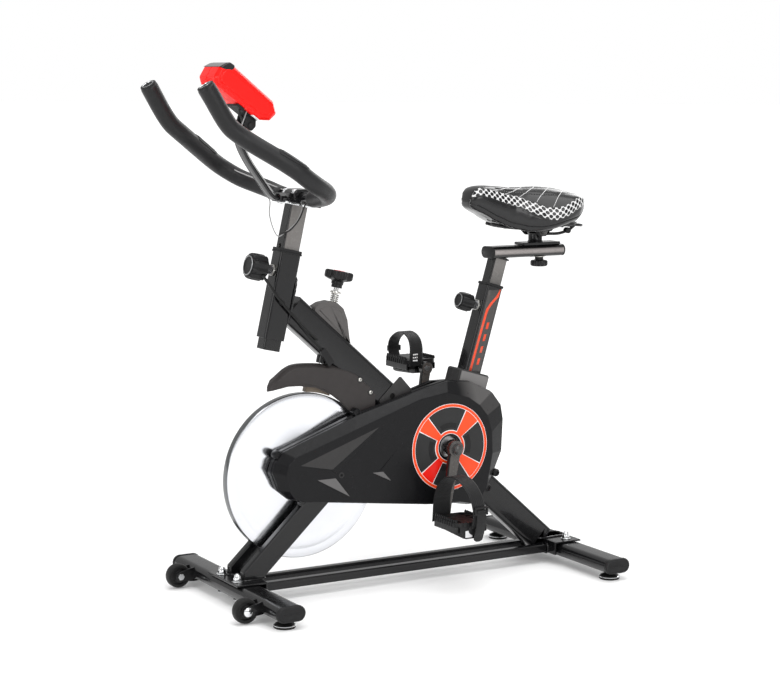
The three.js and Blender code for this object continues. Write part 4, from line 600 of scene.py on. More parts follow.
def grooved(r, a, b, n=6):
    out = []; w = (b - a) / n
    for i in range(n): out += [(r, a + i * w + .1), (r, a + i * w + w * .3), (r - 1.3, a + i * w + w * .6), (r, a + (i + 1) * w - .1)]
    return out
ob = add("axle_pulley", *turned(fc, X, [(8.8, 40.5), (15, 40.5), (15, 42.4)] + grooved(24.8, 42.4, 51.6) + [(8.8, 51.6)], 64, True), STEEL, "flywheel", sharp=25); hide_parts("small_pulley")
ob = add("crank_pulley", *turned(cc, X, [(0, -86), (8.5, -86), (8.5, 41), (22, 42.4), (30, 45), (86, 45), (88, 42.4)] + grooved(99.6, 42.4, 51.6) + [(88, 51.6), (86, 49), (30, 49), (22, 51.6), (8.5, 53), (8.5, 86), (0, 86)], 96), STEEL, "crank", sharp=25)
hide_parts("spindle_pulley")
ob = add("bracket_bearings", *joined(*[turned(cc, X, [(9.2, s * 38), (18.4, s * 38), (18.4, s * 24), (9.2, s * 24)], 40, True) for s in (-1, 1)]), STEEL, F, bevel=.3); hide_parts("bottom_bracket")
# belt loop
D = math.hypot(cc.y - fc.y, cc.z - fc.z); base = math.atan2(cc.z - fc.z, cc.y - fc.y)
def loop(r0, r1, n1=60, n0=24):
    t = math.acos((r1 - r0) / D); P = []
    for i in range(n1 + 1): a = base - (math.pi - t) + 2 * (math.pi - t) * i / n1; P.append((cc.y + r1 * math.cos(a), cc.z + r1 * math.sin(a)))
    for i in range(n0 + 1): a = base + (math.pi - t) + 2 * t * i / n0; P.append((fc.y + r0 * math.cos(a), fc.z + r0 * math.sin(a)))
    return P
o_, i_ = loop(28.6, 103.6), loop(26.3, 101.3)
rg = lambda x, L: [(x, p[0], p[1]) for p in L]
ob = add("poly_belt", *loft([rg(43.7, i_), rg(43.7, o_), rg(50.3, o_), rg(50.3, i_), rg(43.7, i_)], False, False), BELT, F, sharp=40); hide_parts("drive_belt")
# cranks
ad = Vector((0, -25, -148)).normalized()
ENDS = {}
for s, nm in ((1, "left"), (-1, "right")):
    d = ad * s; e = cc + d * 150; ENDS[nm] = e
    u = Vector((0, d.z, -d.y)); Xs = Vector((s, 0, 0))
    rings = []
    for t, w, h0, h1 in ((6, 12.5, 72.6, 85.6), (20, 12.8, 72.8, 85.6), (60, 11.6, 73.6, 85), (110, 10.6, 74.4, 85), (142, 11, 74.6, 86), (148, 11, 74.6, 86)):
        c = cc + d * t
        rings.append([tuple(c + Xs * ((h0 + h1) / 2 + q[0]) + u * q[1]) for q in rr(h1 - h0, 2 * w, 3.2, 5)])
    arm = joined(loft(rings), turned(cc, (s, 0, 0), [(8.8, 66), (16.8, 66), (18, 67.4), (18, 84.6), (16.8, 86), (8.8, 86)], 48, True), turned(e, (s, 0, 0), [(6.7, 74), (12.4, 74), (13.5, 75), (13.5, 87), (12.4, 88), (6.7, 88)], 40, True))
    ob = add("crank_" + nm, *arm, ARM, "crank", sharp=40, merge=False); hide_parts("crank_arm_" + nm)
    add("crank_nut_" + nm, *joined(turned(cc, (s, 0, 0), [(0, 84), (13.6, 84), (13.6, 86.6), (12.6, 87.4), (0, 87.4)], 40), along(cc + Xs * 87, cc + Xs * 95, circ(10.2, 6)), turned(cc, (s, 0, 0), [(10.6, 87), (10.6, 93), (9.6, 96), (7, 98), (3.6, 99), (0, 99.2)], 32)), CAPG, "crank", bevel=.4)
    ob = add("pedal_axle_" + nm, *joined(turned(e, (s, 0, 0), [(0, 74.2), (6.2, 74.2), (6.2, 88.4), (9.8, 88.4), (9.8, 94), (6, 94), (6, 186), (0, 186)], 32), along(e + Xs * 88.6, e + Xs * 93.6, circ(10.6, 6))), STEEL, "crank", bevel=.4)
    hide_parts("pedal_spindle_" + nm)

# ------------------------------------------------------------------ pedals and straps
for s, nm in ((1, "left"), (-1, "right")):
    e = ENDS[nm] ; B = "pedal_" + nm
    def P3(x, y, z): return (s * x, e.y + y, e.z + z)
    def slab(poly, z0, z1, body=B):
        """outline given in (x, y) from the inner end, standing z0..z1"""
        a = [P3(x, y, z0) for x, y in poly]; b = [P3(x, y, z1) for x, y in poly]
        return loft([a, b])
    # cage plate with teeth around its rim
    out = []
    x0, x1, y0, y1 = 98, 189, -38, 35
    n = 9
    for i in range(n): 
        x = x0 + 6 + (x1 - x0 - 12) * i / n; w = (x1 - x0 - 12) / n
        out += [(x, y0), (x + w * .30, y0), (x + w * .45, y0 - 3.2), (x + w * .62, y0 - 3.2), (x + w * .78, y0)]
    out += [(x1 - 6, y0), (x1, y0 + 7)]
    for i in range(5):
        y = y0 + 12 + (y1 - y0 - 24) * i / 5; w = (y1 - y0 - 24) / 5
        out += [(x1, y), (x1, y + w * .3), (x1 + 2.6, y + w * .45), (x1 + 2.6, y + w * .6), (x1, y + w * .75)]
    out += [(x1, y1 - 7), (x1 - 6, y1)]
    for i in range(n):
        x = x1 - 6 - (x1 - x0 - 12) * i / n; w = (x1 - x0 - 12) / n
        out += [(x, y1), (x - w * .30, y1), (x - w * .45, y1 + 2.6), (x - w * .62, y1 + 2.6), (x - w * .78, y1)]
    out += [(x0 + 6, y1), (x0, y1 - 6), (x0, y0 + 6)]
    cage = add("pedal_cage_" + nm, *slab(out, 7, 16.5), PEDAL, B, bevel=1.1, seg=2)
    for k, (ya, yb) in enumerate(((-31, -21), (17, 27))):
        for j in range(4):
            xa = 108 + j * 20
            cutter(cage, *slab([(xa, ya), (xa + 14, ya), (xa + 14, yb), (xa, yb)], 2, 30))
    # raised grip teeth along the front and rear rims
    for yy, tg in ((-38, "front"), (33, "rear")):
        T = []
        for i in range(12):
            x = 104 + i * 6.9
            T.append(loft([[P3(x, yy, 16), P3(x + 4.6, yy, 16), P3(x + 4.6, yy + 5, 16), P3(x, yy + 5, 16)], [P3(x + .9, yy + .8, 22.4), P3(x + 3.7, yy + .8, 22.4), P3(x + 3.7, yy + 3.6, 22.4), P3(x + .9, yy + 3.6, 22.4)]]))
        add("pedal_teeth_%s_%s" % (tg, nm), *joined(*T), PEDAL, B, bevel=.5)
    # centre block around the spindle, deeper at the outer end
    blk = loft([[P3(99, q[0] * .80 - 2, q[1] * .74 - 4) for q in rr(34, 24, 5, 6)], [P3(112, q[0] - 2, q[1] * .9 - 3.5) for q in rr(34, 26, 5, 6)], [P3(178, q[0] - 2, q[1] - 5) for q in rr(35, 28, 5, 6)], [P3(188, q[0] * .96 - 2, q[1] * .96 - 5) for q in rr(35, 28, 5, 6)]])
    body = add("pedal_core_" + nm, *blk, PEDAL, B, bevel=1.0, seg=3)
    for j in range(4):
        xa = 116 + j * 16
        for yy in (-22.5, 12.5):
            cutter(body, *slab([(xa, yy), (xa + 11, yy), (xa + 11, yy + 6), (xa, yy + 6)], -12, 3))
    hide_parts("pedal_" + nm)
    for yy in (-37, 27):
        add("pedal_rail_%s_%s" % ("a" if yy < 0 else "b", nm), *slab([(99, yy), (189, yy), (189, yy + 8), (99, yy + 8)], -6, 8), PEDAL, B, bevel=1.6, seg=3)
    for xx in (99, 181):
        add("pedal_end_%d_%s" % (xx, nm), *slab([(xx, -36), (xx + 8, -36), (xx + 8, 34), (xx, 34)], -5, 8), PEDAL, B, bevel=1.6, seg=3)
    add("pedal_cap_" + nm, *turned(e, (s, 0, 0), [(0, 192), (7, 191.6), (10.4, 190.2), (11, 187), (11, 184), (0, 184)], 36), CAP, B, sharp=30)
    # pale reflector on the outer end of the block
    a, b = P3(188.4, -17, -15), P3(190.2, -1, -1)
    add("pedal_reflector_end_" + nm, *box(min(a[0], b[0]), max(a[0], b[0]), a[1], b[1], a[2], b[2]), REFLECT, B, bevel=.5)
    # toe strap: a woven-faced rubber band, wider at the inner side
    h = 1 if nm == "left" else .7; ex = 2 if nm == "left" else 0
    path = [(95.6, 3), (95.4, 8), (94.6, 40 * h), (98, 68 * h), (109, 89 * h), (129, 101 * h), (152, 102 * h), (176, 91 * h), (196, 71 * h), (204, 46 * h), (201, 24 * h + ex), (193.4, 8), (193, 3)]
    PS = [Vector(p) for p in spline([(p[0], p[1], 0) for p in path], 8, False)]
    rings = []
    N_ = len(PS)
    for i, p in enumerate(PS):
        t = i / (N_ - 1)
        a_ = PS[max(0, i - 1)]; b_ = PS[min(N_ - 1, i + 1)]; tg = (b_ - a_).normalized(); nn = Vector((-tg.y, tg.x, 0))
        wid = (22 + 0 * t) * (1 - t) + 12.5 * t if nm == "left" else 17 * (1 - t) + 12.5 * t
        yc = -18 + 27 * t * t * (3 - 2 * t) if nm == "left" else -18 + 12 * t
        pf = []
        K = 14
        for k in range(K + 1):      # upper face with lengthwise ribs, lower face flat
            f = -1 + 2 * k / K
            hgt = 1.15 + (.55 if k % 2 else 0) - (.5 if abs(f) > .99 else 0)
            pf.append((f * wid, hgt))
        pf += [(wid * .98, -1.0), (-wid * .98, -1.0)]
        rings.append([P3(p.x + nn.x * q[1], yc + q[0], p.y + nn.y * q[1]) for q in pf])
    st_ = add("toe_band_" + nm, *loft(rings), STRAP, B, sharp=28)
    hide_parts("toe_strap_" + nm)
    # a buckle at the outer side
    bk = Vector((204.5, 0, 40 * h)); YB = 28 if nm == "left" else 13      # the buckle side sits further back
    add("strap_buckle_" + nm, *joined(slab([(203, -33 + YB), (209, -33 + YB), (209, -5 + YB), (203, -5 + YB)], 33 * h, 37.5 * h), slab([(203, -33 + YB), (209, -33 + YB), (209, -5 + YB), (203, -5 + YB)], 46 * h, 50 * h),
        slab([(203, -35 + YB), (209.4, -35 + YB), (209.4, -31 + YB), (203, -31 + YB)], 33 * h, 50 * h), slab([(203, -7 + YB), (209.4, -7 + YB), (209.4, -3 + YB), (203, -3 + YB)], 33 * h, 50 * h), slab([(207, -30 + YB), (210, -30 + YB), (210, -8 + YB), (207, -8 + YB)], 39.4 * h, 43 * h)), PEDAL, B, bevel=.7)
    # the free tail hanging down outside
    tp = [(206.5, 44 * h), (208.5, 30 * h), (207, 12), (202.5, -3), (198, -14), (195.5, -24)] if nm == "left" else [(205, 44 * h), (207, 30 * h), (204, 10), (199, -4)]
    PT = [Vector(p) for p in spline([(p[0], p[1], 0) for p in tp], 8, False)]; rings = []
    for i, p in enumerate(PT):
        a_ = PT[max(0, i - 1)]; b_ = PT[min(len(PT) - 1, i + 1)]; tg = (b_ - a_).normalized(); nn = Vector((-tg.y, tg.x, 0)); w = 11 * (1 if i < len(PT) - 5 else (.95, .9, .8, .62, .4)[i - len(PT) + 5])
        rings.append([P3(p.x + nn.x * q[1], -19 + YB + q[0], p.y + nn.y * q[1]) for q in rr(2 * w, 2.4, .9, 3)])
    add("strap_tail_" + nm, *loft(rings), STRAP, B, sharp=50)
    # small pale generic mark at the strap's foot: three plain bars
    mk = []
    for k in range(3): 
        zz = 14 + k * 6.5
        a, b = P3(93.0, -25, zz), P3(93.9, -13, zz + 3)
        mk.append(box(min(a[0], b[0]), max(a[0], b[0]), a[1], b[1], a[2], b[2]))
    add("strap_mark_" + nm, *joined(*mk), WHITE, B, bevel=.2)

# ------------------------------------------------------------------ guards
S_OUT = [(-66, 266), (-50, 226), (-28, 208), (2, 199), (60, 192), (300, 163), (372, 158), (404, 152), (426, 163), (447, 186), (466, 224), (483, 262), (486, 330), (480, 362), (457, 391), (400, 417), (345, 422), (286, 409), (125, 366), (-41, 306), (-60, 285)]
N_OUT = [(-43, 259), (-36, 228), (-24, 210), (4, 202), (62, 196), (300, 167), (370, 165), (402, 158), (420, 169), (436, 190), (442, 226), (448, 262), (446, 308), (434, 344), (414, 368), (386, 387), (336, 401), (267, 391), (112, 339), (-22, 295), (-38, 279)]
R_OUT = [(236, 226), (262, 190), (300, 172), (344, 164), (388, 168), (426, 184), (452, 214), (466, 256), (468, 310), (458, 354), (436, 392), (392, 414), (345, 414), (290, 398), (250, 360), (232, 310), (228, 262)]
def rp(P, d=0, r=9):
    Q = inset2(P, d) if d else P
    return round_poly(Q, r, 4)
def rx(P, x): return [(x, p[0], p[1]) for p in P]
S0, N0 = rp(S_OUT), rp(N_OUT)
S2, N2 = rp(S_OUT, 2.6), rp(N_OUT, 2.6)
mid = [(a[0] * .06 + b[0] * .94, a[1] * .06 + b[1] * .94) for a, b in zip(S0, N0)]
g = add("guard_shell_outer", *loft([rx(N2, 55), rx(S2, 38.6), rx(S2, 28.6), rx(S0, 28.6), rx(S0, 37.6), rx(rp(S_OUT, .5), 40.2), rx(mid, 57.0), rx(rp(N_OUT, 1.2), 58.0)]), GUARD, F, bevel=.5, seg=2, sharp=24)
cutter(g, *along(cc + Vector((40, 0, 0)), cc + Vector((70, 0, 0)), circ(24, 48)))
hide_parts("guard_outer")
g = add("guard_shell_inner", *loft([rx(rp(S_OUT, 5.6), 15.6), rx(S2, 18.8), rx(S2, 27.4), rx(S0, 27.4), rx(S0, 18), rx(rp(S_OUT, 3), 13.2)]), GUARD, F, bevel=.5, seg=2, sharp=24)
cutter(g, *along(fc + Vector((9, 0, 0)), fc + Vector((24, 0, 0)), circ(26, 48)))
cutter(g, *along(seatAt(318), seatAt(474), rr(39, 42, 3, 3)))      # clear of the seat post inside its tube
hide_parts("guard_inner")
# joint between the two halves: a recessed dark web and a proud lip
add("guard_seam", *loft([rx(rp(S_OUT, 1.6), 27.0), rx(rp(S_OUT, 1.6), 29.0), rx(rp(S_OUT, 4), 29.0), rx(rp(S_OUT, 4), 27.0), rx(rp(S_OUT, 1.6), 27.0)], False, False), DARK, F)
add("guard_lip", *loft([rx(rp(S_OUT, -1.3), 29.4), rx(rp(S_OUT, -1.3), 32.2), rx(rp(S_OUT, .4), 33.0), rx(rp(S_OUT, .4), 28.8), rx(rp(S_OUT, -1.3), 29.4)], False, False), GUARD, F, sharp=30)
g = add("guard_shell_right", *loft([rx(rp(R_OUT, 14.6), -41.4), rx(rp(R_OUT, 2.6), -33), rx(rp(R_OUT, 2.6), -21), rx(rp(R_OUT), -21), rx(rp(R_OUT), -33.6), rx(rp(R_OUT, 11), -43.4), rx(rp(R_OUT, 13), -44)]), GUARD, F, bevel=.5, seg=2, sharp=24)
cutter(g, *along(cc - Vector((10, 0, 0)), cc - Vector((60, 0, 0)), circ(26, 48)))
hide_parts("guard_right")
# boss round the foot of the seat tube, in two halves
for s, nm in ((1, "left"), (-1, "right")):
    def half(w, d, r): return [(max(.15, q[0]) if s > 0 else min(-.15, q[0]), q[1]) for q in rr(w, d, r, 6)]
    o = [half(56, 78, 8), half(56, 78, 8), half(51, 73, 7)]
    st_ = [seatAt(378), seatAt(430), seatAt(433.5)]
    u = Vector((1, 0, 0)); v_ = Vector((0, SD.z, -SD.y))
    rings = [[tuple(c + u * q[0] + v_ * q[1]) for q in ring] for c, ring in zip(st_, o)]
    b = add("seat_tube_boss_" + nm, *loft(rings), BOSS, F, bevel=.8, sharp=35)
# raised facets of the moulded face; those turned toward the top light take the paler copies GUARDT and GUARDL, painted
# light, and the rest take GUARD
def facet(name, tri, mat=GUARDL):
    a = [(56.4, y, z) for y, z, d in tri]; b = [(58.0 + d, y, z) for y, z, d in tri]
    return add(name, *loft([a, b]), mat, F, bevel=.35, seg=2, sharp=12)
facet("guard_facet_wedge", [(-12, 278, .1), (60, 264, 2.6), (171, 342, .1)])
facet("guard_facet_drop", [(60, 264, 2.6), (72, 254, .05), (171, 342, .1)], GUARD)
facet("guard_facet_low", [(27, 245, .1), (68.5, 245, .1), (99, 205, 5.0)], GUARDT)
facet("guard_facet_under", [(27, 245, .1), (99, 205, 5.0), (88, 202, .1)], GUARD)
facet("guard_facet_small", [(155, 248, .1), (180, 248, .1), (197, 228, 3.6)], GUARDT)
facet("guard_facet_crease", [(176, 254, 1.6), (170, 249, .05), (222, 300, .1)], GUARD)
for y, z in ((82, 250),):
    add("guard_screw_%d" % y, *joined(turned((57.6, y, z), X, [(0, .2), (3.0, .2), (3.2, 1.0), (5.4, 1.1), (5.9, .6), (6, -.6), (0, -.6)], 28)), DARK, F, sharp=30)
    # painted shade: a near-black dome fills the recess in the screw head
    add("guard_screw_head_%d" % y, *turned((57.6, y, z), X, [(0, 1.0), (1.2, 1.0), (2.6, .8), (2.8, .2), (0, .2)], 20), HOLE, F, sharp=30)
for i, (y, z) in enumerate(((451, 183), (472, 214), (-52, 300), (130, 372))):
    add("guard_lug_%d" % i, *turned((30, y, z), X, [(0, -9), (7.6, -9), (8.6, -7), (8.6, 7), (7.6, 9), (4.6, 9.6), (4.2, 7.6), (0, 7.6)], 32), GUARD, F, sharp=30)

# ------------------------------------------------------------------ printed disc round the crank
def ringdisc(name, r0, r1, x0, x1, mat, n=96, **k):
    return add(name, *turned(cc, X, [(r0, x0), (r1, x0), (r1, x1), (r0, x1)], n, True), mat, F, sharp=30, **k)
dd = add("disc_face", *turned(cc, X, [(29, 57.9), (92.6, 57.9), (93.2, 58.6), (92.6, 59.3), (60, 59.4), (37, 59.4), (29, 59.2)], 112, True), DARK, F, sharp=30)
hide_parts("guard_disc")
ringdisc("disc_rim_white", 84.6, 92.0, 59.0, 59.75, WHITE)
ringdisc("disc_rim_orange_a", 85.5, 91.2, 59.2, 60.0, ORANGE)
ringdisc("disc_hub_white", 28.4, 36.4, 59.0, 60.0, WHITE)
ringdisc("disc_hub_orange", 29.6, 34.8, 59.2, 60.3, ORANGE)
def wedge(r0, r1, a0, a1, x0, x1, n=14):
    P = [(r1, a0 + (a1 - a0) * i / n) for i in range(n + 1)] + [(r0, a1 - (a1 - a0) * i / n) for i in range(n + 1)]
    pts = [(cc.y + r * math.cos(math.radians(a)), cc.z + r * math.sin(math.radians(a))) for r, a in P]
    return prism(pts, x0, x1)
for i, (a0, a1, m_) in enumerate(((36.5, 61.8, ORANGE), (129.7, 151.7, ORANGE), (216.5, 239.8, ORANGE2), (-54, -29.4, ORANGE))):
    add("disc_wedge_edge_%d" % i, *wedge(35.5, 85.2, a0 - 1.4, a1 + 1.4, 59.0, 59.8), WHITE, F, sharp=30)
    add("disc_wedge_%d" % i, *wedge(34.9, 84.4, a0, a1, 59.2, 60.15), m_, F, sharp=30)
for i in range(4):
    a = (95, 185, 268, 4)[i]
    add("disc_relief_%d" % i, *wedge(41, 52, a - 24, a + 24, 59.0, 59.75), CAP, F, sharp=30, bevel=.2)
add("disc_bell", *turned(cc, X, [(29, 59.4), (27.6, 58.4), (25.4, 52), (20, 49.6), (9.6, 49.4), (9.6, 54.4), (12, 54.8), (12, 66), (9.2, 66.4), (9.2, 48), (30, 48), (30, 58)], 72, True), DARK, F, sharp=25)

# ------------------------------------------------------------------ flywheel fender
UP = [(-67.6, 435.3), (-45, 452), (-18.7, 471), (5.7, 477.3), (51.5, 475.2), (97.8, 467.4), (132.9, 454.7), (160.5, 431.9), (180.4, 406.3)]
LO = [(184, 380), (160, 352), (146, 350), (130, 366), (113.6, 380.3), (78.6, 410), (43.9, 427.6), (5.7, 433.8), (-20.8, 434.6), (-54.6, 428.6)]
def smooth2(P, n=6): return [(p[1], p[2]) for p in spline([(0, p[0], p[1]) for p in P], n, False)]
up, lo = smooth2(UP), sorted(smooth2(LO))
fu = lambda y: float(np.interp(y, [p[0] for p in up], [p[1] for p in up]))
fl = lambda y: float(np.interp(y, [-67, -54.6, -20.8, 5.7, 43.9, 78.6, 97, 113.6, 130, 146, 190], [428, 429, 434.6, 433.8, 427.6, 410, 396, 380.3, 366, 353, 353]))
SEC = [(22, None), (22, 7.4), (21.2, 6.2), (14.5, .8), (12, 0), (1, 0), (-2, 1.0), (-13, 15), (-14, 17), (-12.4, 18.6), (-3, 3.8), (1, 2.6), (12, 2.6), (19.6, 8.6), (19.6, None)]
rings = []
for y in np.linspace(-68, 181, 64):
    ring = []
    for x, d_ in SEC:
        yy_ = max(float(y), -72 + (22 - x) * .9)
        tap = min(1, max(.45, (yy_ + 69) / 40)) * (1 if yy_ < 165 else .5)
        zt_ = fu(yy_)
        zz_ = min(fl(yy_), zt_ - 6) if d_ is None else zt_ - d_ * tap
        ring.append((x, yy_, zz_))
    rings.append(ring)
fn = add("fender_shell", *loft(rings), FENDER, F, bevel=.4, sharp=24, merge=False)
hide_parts("flywheel_fender")
add("fender_bead", *sweep([(21.8, y, z) for y, z in smooth2([(-52, 431.5), (-20.8, 437.6), (5.7, 436.8), (43.9, 430.6), (78.6, 413), (113.6, 383.2), (140, 357)])], 1.3, 8), FENDER, F)
for i, (y, z) in enumerate(((145, 437), (170, 409))):
    add("fender_screw_%d" % i, *joined(turned((22, y, z), X, [(0, 2.6), (2.2, 2.5), (3.8, 1.7), (4.6, 0), (4.6, -.6), (0, -.6)], 28)), ZINC, F, sharp=30)
    add("fender_washer_%d" % i, *turned((21.9, y, z), X, [(0, .3), (6.4, .3), (6.6, 0), (6.6, -1), (0, -1)], 28), DARK, F, sharp=30)
    # painted shade: a dark cross on each screw head stands for the shade in its cross recess
    add("fender_cross_%d" % i, *joined(box(24.2, 24.9, y - 2, y + 2, z - .4, z + .4), box(24.2, 24.9, y - .4, y + .4, z - 2, z + 2)), DARK, F)
# the frame ear plate takes the paler guard copy GUARDL, a painted light tone
ear = add("frame_ear_plate", *prism(round_poly([(191, 391), (241, 438), (270, 406), (195, 368)], 5, 5), 20.0, 22.8), GUARDL, F, bevel=.5)
cutter(ear, *along(Vector((10, 222, 397)), Vector((30, 222, 397)), circ(6.2, 28)))
# painted shade: a near-black disc behind the ear plate's hole
add("ear_hole_back", *along(Vector((19.6, 222, 397)), Vector((20.4, 222, 397)), circ(7.2, 28)), HOLE, F)

# ------------------------------------------------------------------ brake: pad, shoe, rod, cover, knob
def dz(r): return rodAt(247) + HD * r
pad = add("felt_pad", *along(dz(165.6), dz(188), rr(18, 58, 4, 5)), FELT, "brake", bevel=.9, seg=2)
cutter(pad, *along(fc - Vector((30, 0, 0)), fc + Vector((30, 0, 0)), circ(171.8, 180)))
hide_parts("brake_pad")
pr = [(5, 189), (5, 389)]
rod_ = add("brake_rod", *joined(along(dz(188.2), dz(190.4), rr(19, 54, 3, 4)), along(dz(190.4), dz(196), rr(22, 30, 3, 4)),
     turned(rodAt(247), HD, [(0, 192), (9, 196), (9, 201), (5.2, 202), (5.2, 352), (5.2, 404), (0, 404)], 28)), CHROME, "brake", bevel=.5)
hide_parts("brake_shoe")
thr = [(5.3, 300)]; t = 300.6
while t < 388: thr += [(5.6, t), (4.9, t + .7)]; t += 1.4
thr += [(5.3, 388.5)]
add("brake_rod_thread", *turned(rodAt(247), HD, thr, 24), ZINC, "brake", sharp=20, merge=False)
# spring seat and coil under the knob
coil = []
for i in range(221):
    a = i * 2 * math.pi / 20; c = dz(333 + i * .20) + Vector((math.cos(a) * 8.2, 0, 0)) + Vector((0, HD.z, -HD.y)) * (math.sin(a) * 8.2); coil.append(tuple(c))
add("brake_spring", *sweep(coil, 1.15, 8), ZINC, F)
add("brake_spring_seat", *turned(rodAt(247), HD, [(6.4, 328), (12, 328), (12.4, 329), (12, 332), (6.4, 332)], 36, True), ZINC, F)
add("brake_spring_cap", *turned(rodAt(247), HD, [(6.4, 377.6), (11, 377.6), (11.4, 379), (10.4, 382), (6.4, 382.4)], 36, True), ZINC, F)
prof_ = [(46, 592), (60, 599), (80, 602), (97, 597), (111, 585), (120, 562), (125, 524), (130, 500), (60, 530), (40, 575)]
Pc = round_poly(prof_, 7, 5)
cv = add("rod_cover", *loft([rx(inset2(Pc, 2.6), -15), rx(inset2(Pc, .7), -14.2), rx(Pc, -12.4), rx(Pc, 12.4), rx(inset2(Pc, .7), 14.2), rx(inset2(Pc, 2.6), 15)]), GREY, F, bevel=.4, sharp=28)
cutter(cv, *along(rodAt(540), rodAt(640), circ(7.2, 32)))
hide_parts("brake_cover")
for s, nm in ((1, "l"), (-1, "r")):
    add("rod_cover_screw_" + nm, *turned((0, 66, 560), (s, 0, 0), [(0, 15.4), (2.2, 15.4), (3.8, 14.6), (4.2, 13.6), (0, 13.6)], 24), ZINC, F, sharp=30)
    add("rod_cover_rib_" + nm, *loft([rx(inset2(Pc, 9), s * 14.6), rx(inset2(Pc, 9), s * 15.4), rx(inset2(Pc, 10.4), s * 15.9)]) , GREY, F, bevel=.3, sharp=28)
# star knob: lobes with a recessed top, stepped hub
def lobes(r, a, n=8, m=96): return [((r + a * math.cos(n * 2 * math.pi * i / m)) * math.cos(2 * math.pi * i / m), (r + a * math.cos(n * 2 * math.pi * i / m)) * math.sin(2 * math.pi * i / m)) for i in range(m)]
def stack(c0, d, steps, u=None):
    """rings given as (distance, outline)"""
    d = Vector(d).normalized(); u = Vector((1, 0, 0)) if abs(d.x) < .9 else Vector((0, 1, 0)); v = d.cross(u)
    return loft([[tuple(Vector(c0) + d * t + u * q[0] + v * q[1]) for q in ring] for t, ring in steps])
kn = add("tension_star", *stack(rodAt(247), HD, [(404, lobes(18, .6)), (406.6, lobes(24.6, 1.8)), (408.2, lobes(26.8, 2.5)), (411, lobes(27.6, 2.7)), (420, lobes(27.6, 2.7)), (422.6, lobes(26.8, 2.4)), (424, lobes(24.4, 1.8)), (424, lobes(18, .4)), (422.4, lobes(16.6, 0)), (422.2, lobes(6, 0))]), KNOB, "tension_knob", sharp=32)
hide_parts("tension_knob")
add("tension_hub", *turned(rodAt(247), HD, [(6.2, 389), (10.4, 389), (11.2, 390), (11.2, 396), (12.6, 397), (12.6, 402), (17, 405), (17, 407)], 40), KNOB, "tension_knob", sharp=28)
add("tension_cap", *turned(rodAt(247), HD, [(15.8, 422.2), (15.6, 423), (13, 424.2), (8, 424.8), (0, 425)], 48), ORANGE2, "tension_knob", sharp=30)
for i in range(3):        # plain pips around the cap instead of lettering
    a = i * 2 * math.pi / 3; c = dz(424.2) + Vector((1, 0, 0)) * 10 * math.cos(a) + Vector((0, HD.z, -HD.y)) * 10 * math.sin(a)
    add("tension_pip_%d" % i, *turned(c, HD, [(0, 1.1), (1.3, .9), (1.8, .2), (1.8, -1)], 16), WHITE, "tension_knob", sharp=40)

# ------------------------------------------------------------------ handlebar post, clamp, bars
H = "handlebar"
po = add("bar_post", *along(headAt(509), headAt(800), rr(34.4, 38.4, 5, 6), rr(29.6, 33.6, 3, 6)), POST, H, bevel=.4)
for i in range(5):
    h = headAt(664 + (i - 2) * 24.6); cutter(po, *along(h, h + HF * 40, circ(5.4, 28)))
for i in range(4):
    h = headAt(664 + (i + 2.6) * 24.6)
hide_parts("handlebar_post")
bs = add("post_sleeve_bush", *joined(along(headAt(704.2), headAt(710), rr(45, 49, 7, 6), rr(35.3, 39.3, 4.5, 6))), CAP, F, bevel=1.1, seg=3)
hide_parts("post_bush")
add("post_bush_flange", *along(headAt(701), headAt(704.4), rr(47, 51, 8, 6), rr(41.8, 45.8, 5, 6)), CAP, F, bevel=.8, seg=2)
BAR = [(60, 12.5, 813.5), (95, 15, 817), (126, 11, 823.5), (150, -7, 833), (166, -33, 845), (174, -57, 859), (177.5, -77, 872), (174.5, -95, 884), (168, -113, 896), (160, -130, 907), (152, -147, 918), (144, -165, 930), (138.5, -183, 942.5), (136, -200, 956), (135.5, -213, 972), (135.5, -227, 994), (134.5, -240, 1016), (133, -251, 1034)]
full = [(-p[0], p[1], p[2]) for p in reversed(BAR)] + [(0, 12, 812.5)] + BAR
core = spline(full, 10, False)
ob = add("bar_tube", *sweep([tuple(p) for p in core], 12.7, 32), PAINT, H, sharp=60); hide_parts("handlebar")
for s, nm in ((1, "left"), (-1, "right")):
    c = [Vector(p) for p in spline([(s * p[0], p[1], p[2]) for p in BAR], 12, False)]
    n_ = len(c)
    rad = []
    for i in range(n_):
        r = 17.8
        if i < 3: r = (15.4, 16.9, 17.6)[i]
        if i > n_ - 4: r = (17.6, 17.0, 16.0)[i - (n_ - 3)]
        rad.append(r)
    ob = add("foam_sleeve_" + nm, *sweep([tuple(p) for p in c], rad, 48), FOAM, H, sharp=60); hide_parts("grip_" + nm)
    # end plug
    d = (c[-1] - c[-2]).normalized(); tip = c[-1]
    add("bar_plug_" + nm, *turned(tip, d, [(15.8, -2), (16.6, -.4), (16.8, 1.2), (16.2, 2.6), (14.6, 3.2), (12.8, 3.0), (12.2, 1.6), (11, 1.2), (5.4, 1.2), (4.8, 2.2), (3.6, 2.8), (0, 2.9)], 48), CAP, H, sharp=28)
    add("bar_plug_ring_" + nm, *turned(tip, d, [(11.9, 1.5), (12.6, 2.0), (12.4, 3.1), (11.6, 3.3), (11.1, 2.6), (11.2, 1.4)], 48, True), CHROME, H, sharp=28)
